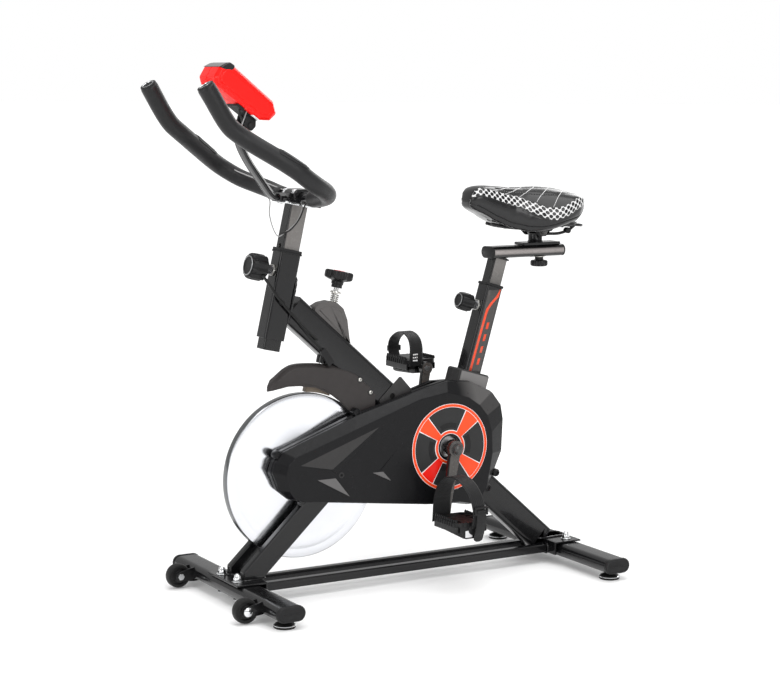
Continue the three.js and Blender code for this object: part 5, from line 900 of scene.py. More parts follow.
# hand pulse pads: a plated strip on a black saddle piece, each side
def padset(nm, t0, t1, s, phi):
    c = [Vector(p) for p in spline([(s * p[0], p[1], p[2]) for p in BAR], 12, False)]
    a, b = int(len(c) * t0), int(len(c) * t1); seg = c[a:b + 1]
    def band(r, half, x, mat, name, lift=0.0):
        rings = []
        for i, p in enumerate(seg[x:len(seg) - x] if x else seg):
            j = i + x
            q = seg[min(j + 1, len(seg) - 1)] - seg[max(j - 1, 0)]; q.normalize()
            up_ = Vector((0, 0, 1)); sd = q.cross(up_).normalized(); un = sd.cross(q).normalized()
            L = len(seg) - 2 * x; e_ = min(i, L - 1 - i); hf = half * min(1, .62 + .16 * e_)
            ring = []
            for k in range(15):
                f = math.radians(phi + (-hf + 2 * hf * k / 14)); ring.append(tuple(p + (sd * math.sin(f) * s + un * math.cos(f)) * (r + lift)))
            for k in range(14, -1, -1):
                f = math.radians(phi + (-hf + 2 * hf * k / 14)); ring.append(tuple(p + (sd * math.sin(f) * s + un * math.cos(f)) * (r - 1.5)))
            rings.append(ring)
        return add(name, *loft(rings), mat, H, bevel=.35, seg=2, sharp=30)
    band(18.9, 62, 0, CAP, "pulse_base_" + nm)
    band(19.7, 46, 3, PADM, "pulse_pad_" + nm)
padset("left", .33, .50, 1, 8)
padset("right", .42, .60, -1, 4)
# clamp
low = headAt(800.4)
cl = add("bar_clamp_plate", *joined(along(low, low + HD * 5, rr(56, 88, 6, 5))), PAINT, H, bevel=.9, seg=3)
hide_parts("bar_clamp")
for nm, z0, z1 in (("lower", 804.5, 812.4), ("upper", 813.8, 830.5)):
    P = rr(54, 44, 5, 5)
    if nm == "lower": rings = [[(q[0], 12 + q[1], z0) for q in P], [(q[0], 12 + q[1], z1) for q in P]]
    else: rings = [[(q[0], 12 + q[1], z0) for q in P], [(q[0], 12 + q[1], z1 - 7) for q in P], [(q[0] * .96, 12 + q[1] * .80, z1 - 1.5) for q in P], [(q[0] * .92, 12 + q[1] * .62, z1) for q in P]]
    b = add("bar_clamp_" + nm, *loft(rings), PAINT, H, bevel=.9, seg=3)
    cutter(b, *along(Vector((-60, 12.3, 812.9)), Vector((60, 12.3, 812.9)), circ(13.4, 48)))
for i, (x, y) in enumerate(((-19, -4), (19, -4), (-19, 28.5), (19, 28.5))):
    z0 = 823.2
    add("clamp_bolt_%d" % i, *joined(turned((x, y, 0), (0, 0, 1), [(0, z0), (7.2, z0), (7.2, z0 + 1.4), (5.4, z0 + 1.5), (5.4, z0 + 6.6), (4.8, z0 + 7.2), (2.9, z0 + 7.2), (2.9, z0 + 3.6), (0, z0 + 3.6)], 36)), CHROME, H, sharp=28)
for i, (x, y) in enumerate(((-21, -30), (21, -30), (-21, -40) , (21, -40))):
    if i > 1: continue
    z0 = headAt(800).z + 5.4
    add("plate_bolt_%d" % i, *joined(turned((x, -22, 0), (0, 0, 1), [(0, z0 - 1), (6.4, z0 - 1), (6.4, z0 + .6), (4.8, z0 + .8), (4.8, z0 + 5), (4.2, z0 + 5.4), (2.4, z0 + 5.4), (2.4, z0 + 3), (0, z0 + 3)], 32)), CHROME, H, sharp=28)
add("clamp_underplate", *along(headAt(796.4), headAt(800.2), rr(50, 60, 5, 5), rr(35, 39, 4, 5)), CHROME, H, bevel=.6)
# stalk: a bent flat bar with rolled edges
path = [(-24, 812.5), (-46, 816), (-68, 843), (-97, 883), (-115, 916), (-119, 939), (-113, 954), (-104, 957)]
PS = [Vector((0, p[1], p[2])) for p in spline([(0, p[0], p[1]) for p in path], 8, False)]
stk = add("console_stalk_bar", *joined(sweep([tuple(p) for p in PS], rr(24, 6.8, 3, 4), up=(1, 0, 0))), PAINT, H, sharp=40)
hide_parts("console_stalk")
add("stalk_foot", *loft([[(q[0], -29 + q[1], 806.4) for q in rr(40, 15, 3, 4)], [(q[0], -29 + q[1], 818) for q in rr(40, 15, 3, 4)], [(q[0] * .66, -30 + q[1], 823) for q in rr(40, 15, 3, 4)]]), PAINT, H, bevel=.8, seg=2)
sp = [tuple(p + Vector((s, 0, 0))) for s in (0,) for p in PS]
for s, nm in ((1, "l"), (-1, "r")):
    add("stalk_rib_" + nm, *sweep([tuple(p + Vector((s * 10.6, 0, 0))) for p in PS[4:-3]], 3.9, 12), PAINT, H)
pv = Vector((0, -101, 957))
add("stalk_barrel", *joined(turned(pv, X, [(4.2, -15), (7.2, -15), (8, -14.2), (8, 14.2), (7.2, 15), (4.2, 15)], 40, True)), PAINT, H, sharp=30)
add("stalk_pin", *joined(turned(pv, X, [(0, -20.4), (3.9, -20.4), (3.9, 20.4), (0, 20.4)], 24)), ZINC, H, sharp=30)
for s, nm in ((1, "l"), (-1, "r")):
    add("stalk_pin_head_" + nm, *joined(turned(pv, (s, 0, 0), [(0, 20.2), (6.8, 20.2), (7.2, 21), (6.4, 23), (4, 24), (0, 24.3)], 32)), CAP, H, sharp=30)

# ------------------------------------------------------------------ console
CB = "console"
def con(u, n): return (-153.8 + .806 * u + .592 * n, 1073.4 - .592 * u + .806 * n)
outl = [(-8, -2), (-3, 4), (8, 5), (118, 0), (137, -15), (133, -34), (113, -47), (-2, -47), (-14, -37), (-16, -14)]
def crn(d, r=6): 
    Q = inset2(outl, d) if d else outl
    return [con(*q) for q in round_poly(Q, r, 5)]
hs = add("console_shell", *loft([rx(crn(9), -39.6), rx(crn(5.4), -39.0), rx(crn(1.2), -34.6), rx(crn(0), -32), rx(crn(0), -1.1), rx(crn(.9), -.7), rx(crn(.9), .7), rx(crn(0), 1.1), rx(crn(0), 32), rx(crn(1.2), 34.6), rx(crn(5.4), 39.0), rx(crn(9), 39.6)]), RED, CB, bevel=.5, seg=2, sharp=24)
cutter(hs, *prism([con(8, -3.2), con(113, -3.2), con(113, 12), con(8, 12)], -30.5, 30.5))
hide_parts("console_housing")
# ridge line along each flank and a stepped belt seam
for s, nm in ((1, "l"), (-1, "r")):
    Pq = [con(*q) for q in round_poly([(-4, -12), (4, -6), (112, -9), (124, -19), (120, -31), (104, -38), (2, -38), (-6, -30)], 5, 5)]
    add("console_flank_" + nm, *loft([rx(Pq, s * 38.4), rx(Pq, s * 40.4), rx([con(*q) for q in round_poly([(-1, -14), (6, -9), (111, -11.6), (120, -20), (116, -30), (102, -35.4), (4, -35.4), (-3, -28)], 4, 5)], s * 41.4)]), RED, CB, bevel=.5, seg=2, sharp=24)
    # black insert on the top front corner
    Pi = [con(*q) for q in round_poly([(-15.4, -15), (-8.6, -1), (-3, 5), (8.4, 6), (11, 0), (7, -10), (-2, -13)], 3, 4)]
    add("console_vent_" + nm, *loft([rx(Pi, s * 33.4), rx(Pi, s * 37.6), rx([con(*q) for q in round_poly([(-14, -14.4), (-8, -2), (-3, 4), (7, 4.6), (9, 0), (6, -8.6), (-2, -11.6)], 3, 4)], s * 39.9)]), GLOSS, CB, bevel=.5, seg=2, sharp=26)
add("console_top_insert", *prism([con(-17, -15), con(-9.6, -1), con(-3.4, 5.2), con(9, 6.1), con(9, 3), con(-2, 2), con(-7, -3), con(-13, -14)], -36.6, 36.6), GLOSS, CB, bevel=.6, seg=2)
# screen: black bezel, recessed dark glass with plain segments
bz = add("console_bezel", *joined(prism([con(8.6, -11.8), con(112.4, -11.8), con(112.4, .8), con(8.6, 1.4)], -30, 30)), GLOSS, CB, bevel=.6, seg=2)
cutter(bz, *prism([con(15, -2.2), con(84, -2.2), con(84, 8), con(15, 8)], -25, 25))
cutter(bz, *joined(turned(Vector((0,) + con(96, -12)), Vector((0, .592, .806)), [(0, 0), (9.6, 0), (9.6, 30), (0, 30)], 40)))
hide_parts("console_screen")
LCD = Mat("lcd_glass", srgb(120, 132, 118), rough=.12, bscale=300, bump=.01, bdist=.0001, cvar=.05, coat=.6) if True else None
add("console_glass", *prism([con(15.2, -2.6), con(83.8, -2.6), con(83.8, -2.0), con(15.2, -2.0)], -24.8, 24.8), LCD, CB)
segs = []
for r_, u0 in enumerate((20, 36, 52, 68)):
    for k in range(7 if r_ != 1 else 4):
        w = 3.6 if r_ != 1 else 8; xa = -21 + k * (6.2 if r_ != 1 else 11)
        segs.append(prism([con(u0, -1.9), con(u0 + (7 if r_ == 1 else 4.4), -1.9), con(u0 + (7 if r_ == 1 else 4.4), -1.75), con(u0, -1.75)], xa, xa + w))
add("console_segments", *joined(*segs), DARK, CB)
nb = Vector((0, .592, .806)); bc = Vector((0,) + con(96, 0))
bt = add("console_key", *turned(bc, nb, [(0, -9), (8.6, -9), (8.8, -2), (8.6, 1.2), (7.4, 2.4), (5, 2.2), (0, 1.6)], 44), RED, "console_button", sharp=30)
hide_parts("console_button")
# socket and slot on the rear face, lugs
for s, nm in ((1, "l"), (-1, "r")):
    x0, x1 = (15.3, 20.1) if s > 0 else (-20.1, -15.3)
    lg = add("console_lug_" + nm, *prism(round_poly([con(90, -46), con(113, -46), con(121, -58), con(119, -70), con(106, -73.5), con(97, -66)], 5, 5), x0, x1), CAP, CB, bevel=.5)
    cutter(lg, *joined(along(Vector((-30, -101, 957)), Vector((30, -101, 957)), circ(4.4, 24))))
add("console_back_plate", *prism([con(60, -46), con(116, -46), con(112, -50), con(64, -50)], -24, 24), CAP, CB, bevel=.8, seg=2)
add("console_socket", *prism(round_poly([con(58, -47), con(76, -47), con(76, -53), con(58, -53)], 2, 3), 16, 32), CAP, CB, bevel=.5, seg=2)
add("console_jack", *sweep([(24, *con(70, -52)), (24, *con(76, -60)), (20, *con(86, -62)), (12, *con(96, -66))], 2.4, 12), CABLE, CB)
add("console_slot", *joined(prism([con(96, -47.0), con(112, -47.0), con(112, -48.2), con(96, -48.2)], 26, 37)), WHITE, CB, bevel=.3)

# ------------------------------------------------------------------ pull knobs
def pull(body, node, c, d, R, L, neck):
    c, d = Vector(c), Vector(d)
    def gear(r, dr, n=9, m=10):
        out = []
        for i in range(n):
            for j in range(m):
                a = 2 * math.pi * (i + j / m) / n; rr_ = r - dr * (1, .93, .7, .3, 0, 0, 0, .3, .7, .93)[j]; out.append((rr_ * math.cos(a), rr_ * math.sin(a)))
        return out
    ob = add(node + "_grip", *stack(c, d, [(neck + .4, gear(R * .80, 0)), (neck + 1.4, gear(R * .92, 1.6)), (neck + 4, gear(R, R * .13)), (neck + L * .55, gear(R, R * .14)), (neck + L - 7, gear(R * .97, R * .13)), (neck + L - 3, gear(R * .9, R * .05)), (neck + L - 3, gear(R * .80, 0))]), KNOB, body, sharp=34)
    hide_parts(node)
    add(node + "_face", *turned(c, d, [(R * .82, neck + L - 4), (R * .82, neck + L - 2), (R * .78, neck + L - 1.2), (R * .60, neck + L - .6), (R * .56, neck + L - 2), (R * .2, neck + L - 2.4), (0, neck + L - 2.4)], 56), KNOB, body, sharp=28)
    add(node + "_ring", *turned(c, d, [(R * .74, neck + L - 1.4), (R * .73, neck + L - .5), (R * .69, neck + L - .3), (R * .665, neck + L - .9), (R * .67, neck + L - 2)], 56, True), STEEL, body, sharp=28)
    add(node + "_neck", *turned(c, d, [(4.4, -2.8), (4.4, neck - 4), (7.6, neck - 3.4), (9.2, neck - 1), (9.4, neck + 2)], 36), DCHR, body, sharp=28)
pull("post_knob", "post_knob", headAt(664) + HF * 23, HF, 27, 38, 21)
pull("seat_knob", "seat_knob", seatAt(567) + SF * 20, SF, 19.5, 34, 18)

# ------------------------------------------------------------------ seat post, slider
SP, SCB, SA = "seat_post", "seat_carriage", "saddle"
po = add("saddle_post", *along(seatAt(424), seatAt(675), rr(32.4, 32.4, 5, 6), rr(28, 28, 3, 6)), POST, SP, bevel=.4)
for i in range(5):
    h = seatAt(567 + (i - 3) * 28); cutter(po, *along(h, h + SF * 40, circ(5.4, 28)))
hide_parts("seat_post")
ct = add("slider_tube", *along(Vector((0, 471, 684.5)), Vector((0, 650, 684.5)), rr(50, 25, 12.4, 10), rr(45, 20, 9.9, 10)), SLIDE, SP, bevel=.5, sharp=40)
cutter(ct, *box(-6, 6, 536, 620, 660, 710))
for y, s in ((471, -1), (650, 1)):
    add("slider_plug_%s" % ("front" if s < 0 else "rear"), *loft([[(q[0], y - s * 12, 684.5 + q[1]) for q in rr(44.6, 19.6, 9.7, 10)], [(q[0], y, 684.5 + q[1]) for q in rr(44.6, 19.6, 9.7, 10)], [(q[0], y + s * .2, 684.5 + q[1]) for q in rr(50.4, 25.4, 12.6, 10)], [(q[0], y + s * 2.6, 684.5 + q[1]) for q in rr(50, 25, 12.4, 10)], [(q[0], y + s * 4.2, 684.5 + q[1]) for q in rr(45, 20.4, 10, 10)]]), CAP, SP, sharp=35)
bs = add("seat_sleeve_bush", *joined(along(seatAt(612.2), seatAt(617.4), rr(43.6, 43.6, 7, 6), rr(33.3, 33.3, 4.5, 6))), CAP, F, bevel=1.0, seg=3)
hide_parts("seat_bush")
weld_s = add("weld_seat_head", *sweep([tuple(p) for p in spline([tuple(seatAt(672) + Vector((q[0], 0, 0)) + Vector((0, SD.z, -SD.y)) * q[1]) for q in rr(35, 37, 6, 2)], 4, True)], 2.0, 8, closed=True), PAINT, SP)
ca = add("carriage_plate", *loft([[(q[0], 596 + q[1], 697.4) for q in rr(40, 96, 4, 4)], [(q[0], 596 + q[1], 703) for q in rr(40, 96, 4, 4)]]), PAINT, SCB, bevel=.9, seg=3)
cutter(ca, *along(Vector((0, 601, 690)), Vector((0, 601, 701.4)), circ(4.4, 24)))
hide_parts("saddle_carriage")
add("carriage_neck", *turned((0, 590, 0), (0, 0, 1), [(17, 702.6), (16.4, 705), (15, 707), (15, 722), (0, 722)], 44), PAINT, SCB, sharp=35)
bl = Vector((0, 590, 728))
cogs = []
for i in range(28): cogs += [(10.6 if i % 2 else 9.6)]
add("carriage_barrel", *turned(bl, X, [(4.3, -24), (9.4, -24), (10, -23), (10, 23), (9.4, 24), (4.3, 24)], 44, True), PAINT, SCB, sharp=30)
add("carriage_pivot", *joined(turned(bl, X, [(0, -33.4), (3.9, -33.4), (3.9, 33.4), (0, 33.4)], 28)), ZINC, SCB, sharp=30)
for s, nm in ((1, "l"), (-1, "r")):
    add("clamp_nut_" + nm, *joined(along(bl + Vector((s * 30.6, 0, 0)), bl + Vector((s * 36.6, 0, 0)), circ(8.2, 6)), turned(bl, (s, 0, 0), [(0, 29.4), (10.4, 29.4), (10.4, 30.8), (0, 30.8)], 32), turned(bl, (s, 0, 0), [(6.4, 36.4), (5.8, 38.4), (3.4, 40), (0, 40.4)], 32)), CAPG, SCB, bevel=.4, sharp=35)
# clamp knob under the tube
def starp(r, a, n=12, m=72): return lobes(r, a, n, m)
kn = add("slider_star", *stack(Vector((0, 601, 0)), (0, 0, 1), [(650, starp(12, 0)), (650, starp(15.4, .3)), (651.4, starp(17.2, .7)), (654, starp(17.8, .9)), (660, starp(17.8, .9)), (662.4, starp(16.6, .6)), (663, starp(13, 0)), (664, starp(9.4, 0)), (671.2, starp(9, 0)), (671.2, starp(4, 0)), (699, starp(4, 0))]), KNOB, "slider_knob", sharp=32)
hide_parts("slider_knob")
add("slider_washer", *turned((0, 601, 0), (0, 0, 1), [(4.6, 670.6), (13, 670.6), (13, 671.8), (4.6, 671.8)], 36, True), ZINC, "slider_knob", sharp=30)

# ------------------------------------------------------------------ saddle: base, springs, cushion
pan = [(-28, 508), (-38, 522), (-52, 546), (-72, 580), (-80, 612), (-72, 646), (-46, 670), (46, 670), (72, 646), (80, 612), (72, 580), (52, 546), (38, 522), (28, 508)]
def pr_(z, k): return [(p[0] * k, 586 + (p[1] - 586) * k, z) for p in round_poly(pan, 9, 4)]
pb = add("saddle_shell", *loft([pr_(739.4, .84), pr_(739.4, .90), pr_(741, .95), pr_(746.4, .975), pr_(747, .9)]), CAP, SA, bevel=.5, sharp=30)
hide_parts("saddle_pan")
for i in range(4):
    x = -33 + i * 22
    add("saddle_base_rib_%d" % i, *box(x - 1.4, x + 1.4, 600 - 4, 660, 736.4, 740), CAP, SA, bevel=.5)
for i in range(2):
    y = 622 + i * 24
    add("saddle_base_cross_%d" % i, *box(-58, 58, y - 1.4, y + 1.4, 736.4, 740), CAP, SA, bevel=.5)
for s, nm in ((1, "l"), (-1, "r")):
    x0, x1 = (24.6, 29) if s > 0 else (-29, -24.6)
    ck = add("saddle_cheek_" + nm, *prism(round_poly([(556, 743), (576, 722), (582, 716.6), (598, 716.6), (604, 722), (624, 743)], 4, 5), x0, x1), CAP, SA, bevel=.5)
    # a point list for wire rails under the base, left unused here
    rail = [(s * 17, 500, 741), (s * 19, 530, 735), (s * 23, 560, 731.5), (s * 26.8, 590, 739.6), (s * 30, 620, 735.6), (s * 38, 648, 738), (s * 44, 662, 743)]
    
# cushion: the soft top. A smooth loaf first, then blown up as cloth, then sewn
half = [(26, 416), (33, 440), (38, 475), (45, 512), (60, 542), (80, 572), (90, 600), (91, 625), (80, 652), (58, 672), (30, 688)]
TOPZ = [(409, 788), (411, 800), (414, 812), (420, 820), (430, 825.5), (438, 827), (455, 826.5), (480, 823), (505, 819.5), (530, 818.6), (560, 820), (590, 821), (622, 818.5), (652, 811), (672, 803), (688, 795), (700, 786)]
def topz(y): return float(np.interp(y, [p[0] for p in TOPZ], [p[1] for p in TOPZ]))
def lowz(y): 
    # lower edge of the padded skirt
    pts = [(409, 784), (411, 781), (440, 767), (465, 753), (482, 745.5), (500, 737), (536, 728), (562, 727), (583, 731), (613, 740), (640, 746), (655, 750), (664, 758), (672, 768), (692, 778)]
    return float(np.interp(y, [p[0] for p in pts], [p[1] for p in pts]))
WID = [(410, 12), (412, 20), (416, 25), (424, 29), (440, 32.5), (475, 38), (512, 47), (542, 61), (572, 80), (600, 90.5), (625, 92), (650, 85), (668, 70), (681, 52), (688, 38), (693, 20)]
def wid(y): return float(np.interp(y, [p[0] for p in WID], [p[1] for p in WID]))
def bandz(y):
    """height of the upper edge of the printed band, where the top panel meets the skirt"""
    pts = [(411, 818), (430, 824), (452, 819.5), (485, 811), (519, 803.5), (540, 794), (559, 786.5), (575, 781), (590, 780.5), (612, 787), (634, 797), (655, 803), (675, 801), (692, 795)]
    return float(np.interp(y, [p[0] for p in pts], [p[1] for p in pts]))
def saddle_rings():
    ys = [410.5, 412, 414.5, 418, 424, 432, 444, 458, 474, 490, 506, 522, 538, 554, 570, 586, 602, 618, 634, 648, 660, 671, 680, 687, 691.5, 694]
    R = []
    for y in ys:
        w = wid(y); zt = topz(y); zb = lowz(y); ze = bandz(y)
        e_ = math.sqrt(min(1.0, max(.04, (y - 409.5) / 9), max(.04, (695.5 - y) / 8)))
        ze = min(ze, zt - 3.0); zm = (zt + zb) / 2
        zt, zb, ze = zm + (zt - zm) * (.6 + .4 * e_), zm + (zb - zm) * (.6 + .4 * e_), zm + (ze - zm) * (.6 + .4 * e_)
        ring = []
        # top panel: from the right edge over the crown to the left edge
        K = 15
        for k in range(K):
            f = 1 - 2 * k / (K - 1); x = w * .97 * f; dome = (1 - abs(f) ** 2.3)
            z = ze + (zt - ze) * dome
            z -= 3.6 * math.exp(-(x / 8.0) ** 2) * min(1, max(0, (y - 455) / 60)) * min(1, max(0, (684 - y) / 40))
            ring.append((x, y, z))
        # skirt: bulges a little below the band, then tucks under
        bulge = [(1.0, .10), (1.015, .28), (1.0, .50), (.955, .72), (.89, .88), (.80, .975), (.70, 1.0), (.56, .93)]
        left = [(-w * a, y, ze + (zb - ze) * b) for a, b in bulge]
        ring += left
        inner = max(zb, min(748.0, ze - 12))
        ring += [(-w * .46, y, (zb + inner) / 2 + 1), (-w * .36, y, inner), (0, y, inner + .4), (w * .36, y, inner), (w * .46, y, (zb + inner) / 2 + 1)]
        ring += [(w * a, y, ze + (zb - ze) * b) for a, b in reversed(bulge)]
        R.append(ring)
    return R
V_, F_ = loft(saddle_rings())
base = add("saddle_pad", V_, F_, None, None, sharp=180)
bpy.context.view_layer.objects.active = base
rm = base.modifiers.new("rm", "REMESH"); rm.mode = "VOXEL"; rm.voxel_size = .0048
dg = bpy.context.evaluated_depsgraph_get(); me = bpy.data.meshes.new_from_object(base.evaluated_get(dg)); base.modifiers.clear(); old = base.data; base.data = me; bpy.data.meshes.remove(old)
rest = np.array([v.co[:] for v in base.data.vertices])
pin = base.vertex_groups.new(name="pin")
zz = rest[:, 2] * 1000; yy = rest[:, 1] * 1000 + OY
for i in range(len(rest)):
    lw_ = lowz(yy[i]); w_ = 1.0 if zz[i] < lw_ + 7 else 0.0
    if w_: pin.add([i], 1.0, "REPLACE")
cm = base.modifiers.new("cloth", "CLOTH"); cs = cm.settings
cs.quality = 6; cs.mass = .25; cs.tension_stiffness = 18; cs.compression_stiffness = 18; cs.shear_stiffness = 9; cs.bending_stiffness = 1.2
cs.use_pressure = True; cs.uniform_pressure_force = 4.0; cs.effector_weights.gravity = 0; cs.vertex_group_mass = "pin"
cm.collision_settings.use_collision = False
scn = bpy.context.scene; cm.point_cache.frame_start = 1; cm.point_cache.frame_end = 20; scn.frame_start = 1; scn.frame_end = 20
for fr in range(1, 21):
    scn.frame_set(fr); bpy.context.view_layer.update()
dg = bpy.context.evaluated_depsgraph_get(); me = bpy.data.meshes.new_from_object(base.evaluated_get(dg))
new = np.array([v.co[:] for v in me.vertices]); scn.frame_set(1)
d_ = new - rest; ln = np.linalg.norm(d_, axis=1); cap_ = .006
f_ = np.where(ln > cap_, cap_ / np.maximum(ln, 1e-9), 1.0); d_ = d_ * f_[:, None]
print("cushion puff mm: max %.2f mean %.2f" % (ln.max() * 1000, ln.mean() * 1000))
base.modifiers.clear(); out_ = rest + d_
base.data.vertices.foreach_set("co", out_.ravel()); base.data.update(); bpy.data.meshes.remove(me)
# smoothed twice and subdivided once; the seams, pulled-in lines along the top edge and round the nose, are pressed in
# below
bm = bmesh.new(); bm.from_mesh(base.data); bmesh.ops.smooth_vert(bm, verts=bm.verts, factor=.5, use_axis_x=True, use_axis_y=True, use_axis_z=True)
bmesh.ops.smooth_vert(bm, verts=bm.verts, factor=.5, use_axis_x=True, use_axis_y=True, use_axis_z=True); bm.to_mesh(base.data); bm.free()
s2 = base.modifiers.new("sub", "SUBSURF"); s2.levels = s2.render_levels = 1
dg = bpy.context.evaluated_depsgraph_get(); me = bpy.data.meshes.new_from_object(base.evaluated_get(dg)); base.modifiers.clear(); old = base.data; base.data = me; bpy.data.meshes.remove(old)
# band of pale dots: its centre line runs under the top edge; the attribute says where each point lies on it
SKL = [(411, 781 + 36), (418, 823 - 1), (440, 820), (452, 813), (486, 803), (520, 797), (529, 788), (559, 774), (566, 768), (587, 768), (612, 774), (634, 787), (650, 796), (668, 800), (692, 800)]
UPP_ = [(y_, bandz(y_) + 1.5) for y_ in range(411, 694, 6)]
LOW_ = [(411, 803), (430, 808), (452, 802), (486, 790), (520, 780), (540, 769), (559, 760.5), (575, 754.5), (590, 754), (612, 762), (634, 774), (655, 783), (675, 784), (692, 782)]
n_ = len(base.data.vertices); co_ = np.empty(n_ * 3); base.data.vertices.foreach_get("co", co_); co_ = co_.reshape(-1, 3) * 1000; co_[:, 1] += OY
yl = co_[:, 1]; lo_ = np.interp(yl, [p[0] for p in LOW_], [p[1] for p in LOW_]); hi_ = np.interp(yl, [p[0] for p in UPP_], [p[1] for p in UPP_])
hw = (hi_ - lo_) / 2; tt = (co_[:, 2] - (lo_ + hi_) / 2) / hw
nrm = np.empty(n_ * 3); base.data.vertices.foreach_get("normal", nrm); nrm = nrm.reshape(-1, 3)
side_ = np.abs(nrm[:, 0])
tt = np.where((side_ < .18), 5.0, tt)                     # only on the flanks
ss = yl - 411
at = base.data.attributes.new("band", "FLOAT_VECTOR", "POINT"); at.data.foreach_set("vector", np.stack([ss, tt, hw], 1).ravel())
# shallow seam grooves: follow the lower edge of the band and the rim above the base
g1 = np.exp(-(((co_[:, 2] - (lo_ - 1.6)) / 1.3) ** 2)) * (side_ > .25)
rim = np.array([lowz(v) for v in yl]) + 13
g2 = np.exp(-(((co_[:, 2] - rim) / 1.4) ** 2)) * (side_ > .15)
wd = np.array([wid(v) for v in yl])
g3 = np.exp(-(((np.abs(co_[:, 0]) - wd * .60) / 1.5) ** 2)) * (nrm[:, 2] > .55) * (yl > 470) * (yl < 676)
co_ -= nrm * (g1 * 1.0 + g2 * 1.2 + g3 * 1.3)[:, None]
co_[:, 1] -= OY; base.data.vertices.foreach_set("co", (co_ / 1000).ravel()); base.data.update()
base.data.materials.clear(); base.data.materials.append(SAD.m)
for p in base.data.polygons: p.use_smooth = True
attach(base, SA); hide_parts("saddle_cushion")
# piping cord along the rim seam and stitches beside the top seams
bv = BVHTree.FromPolygons([tuple(v.co) for v in base.data.vertices], [tuple(p.vertices) for p in base.data.polygons])
def onpad(p, d, far=.4):
    h = bv.ray_cast(Vector(M(p)), Vector(d), far); return h[0], h[1]
for s, nm in ((1, "l"), (-1, "r")):
    P = []
    for y in np.linspace(424, 684, 66):
        h, n1 = onpad((s * 150, y, lowz(y) + 13), (-s, 0, 0))
        if h is not None: P.append(tuple(h + n1 * .0002))
    add("saddle_piping_" + nm, *sweep(P, .0011, 8), CAP, SA, mm=False, sharp=60)
    # stitches on the top seam
    st = []
    for y in np.arange(476, 672, 5.2):
        a_, n1 = onpad((s * wid(y) * .60 + s * 2.6, y, 900), (0, 0, -1)); b_, n2 = onpad((s * wid(y + 3.2) * .60 + s * 2.6, y + 3.2, 900), (0, 0, -1))
        if a_ is not None and b_ is not None:
            m_ = (a_ + b_) / 2 + n1 * .0005
            st.append(sweep([tuple(a_ - n1 * .0002), tuple(m_), tuple(b_ - n2 * .0002)], .00045, 6))
    add("saddle_stitch_" + nm, *joined(*st), CAP, SA, mm=False, sharp=60)
    # pale lines that curve from the band over to the middle of the top, plain and generic
    for k, y0 in enumerate((452, 482, 514, 548, 582)):
        Q = []
        x1 = wid(y0) * .93
        for i in range(25):
            t = i / 24; x = x1 * (1 - t) + 3 * t; y = y0 + 66 * math.sin(t * math.pi / 2) ** .85
            h, n1 = onpad((s * x, y, 900), (0, 0, -1))
            if h is not None: Q.append(tuple(h + n1 * .00005))
        if len(Q) > 4: add("saddle_line_%s_%d" % (nm, k), *sweep(Q, [.0002 + .0006 * math.sin(math.pi * (.06 + .9 * i / (len(Q) - 1))) for i in range(len(Q))], 8), WHITE, SA, mm=False, sharp=60)
# rails of the under-frame, black rod, and the struts behind the clamp
def rod_(name, pts, r, mat, body): return add(name, *sweep([tuple(p) for p in spline(pts, 8, False)], r, 14), mat, body, sharp=60)
rod_("saddle_rail", [(-9, 470, 746), (-14, 500, 739), (-19, 540, 735), (-21, 575, 738), (-22, 610, 738), (-30, 650, 741), (-34, 676, 739), (-24, 694, 737), (0, 698, 736.4), (24, 694, 737), (34, 676, 739), (30, 650, 741), (22, 610, 738), (21, 575, 738), (19, 540, 735), (14, 500, 739), (9, 470, 746)], 3.4, PAINT, SA)
for s, nm in ((1, "l"), (-1, "r")):
    rod_("saddle_strut_" + nm, [(s * 31, 600, 722), (s * 33, 628, 722), (s * 34, 652, 728), (s * 33, 668, 737)], 3.2, PAINT, SA)
    add("saddle_strut_bolt_" + nm, *joined(turned((s * 33.5, 650, 728), X, [(0, -6), (6.2, -6), (6.4, 6), (0, 6)], 24)), CAP, SA, bevel=.5)

# ------------------------------------------------------------------ cables and the sensor bracket
def hose(name, path, r, mat, body, n=10, k=10):
    return add(name, *sweep([tuple(p) for p in spline(path, k, False)], r, n), mat, body, sharp=60)
hose("wire_white", [(-30, -46, 820), (-24, -38, 806), (-22, -40, 780), (-12, -37, 752), (6, -36, 738), (22, -33, 742), (31, -8, 765), (29, 6, 790), (24, 8, 804)], 1.1, WIRE, "handlebar")
hose("wire_black", [(14, -36, 743), (27, -33, 745), (33, -20, 752), (34, -2, 772), (35, 9, 796), (40, 12, 808)], 1.5, CABLE, "handlebar")
# this lead crosses the console hinge, so it is attached to neither body
lead = hose("wire_stalk", [(14, -50, 826), (14.6, -70, 851), (14.6, -98, 889), (14.6, -117, 925), (15, -122, 948), (20, -118, 966), (24, -112, 986)], 1.3, WIRE, None)
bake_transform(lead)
hose("wire_pad_left", [(163, -58, 867), (150, -44, 858), (120, -14, 843), (86, 3, 832), (56, 8, 827), (34, 4, 826)], 1.2, CABLE, "handlebar")
hose("wire_pad_right", [(-163, -58, 867), (-150, -44, 858), (-120, -14, 843), (-86, 3, 832), (-60, 6, 827), (-40, 2, 826)], 1.2, WIRE, "handlebar")
hose("sensor_cable", [(23.4, -78, 662), (24.6, -62, 640), (24.4, -36, 606), (24, -8, 575), (23.4, 16, 548), (22.6, 40, 520), (21.6, 62, 498)], 2.7, CABLE, F)
hose("sensor_cable_b", [(24.6, -71, 655), (27.6, -56, 628), (28.4, -30, 596), (28.2, 0, 566), (27, 26, 541), (25.6, 44, 526)], 2.1, CABLE, F)
add("sensor_bracket", *prism(round_poly([(50, 502), (62, 508), (82, 480), (70, 468)], 4, 4), 20.2, 27), CAP, F, bevel=.6)
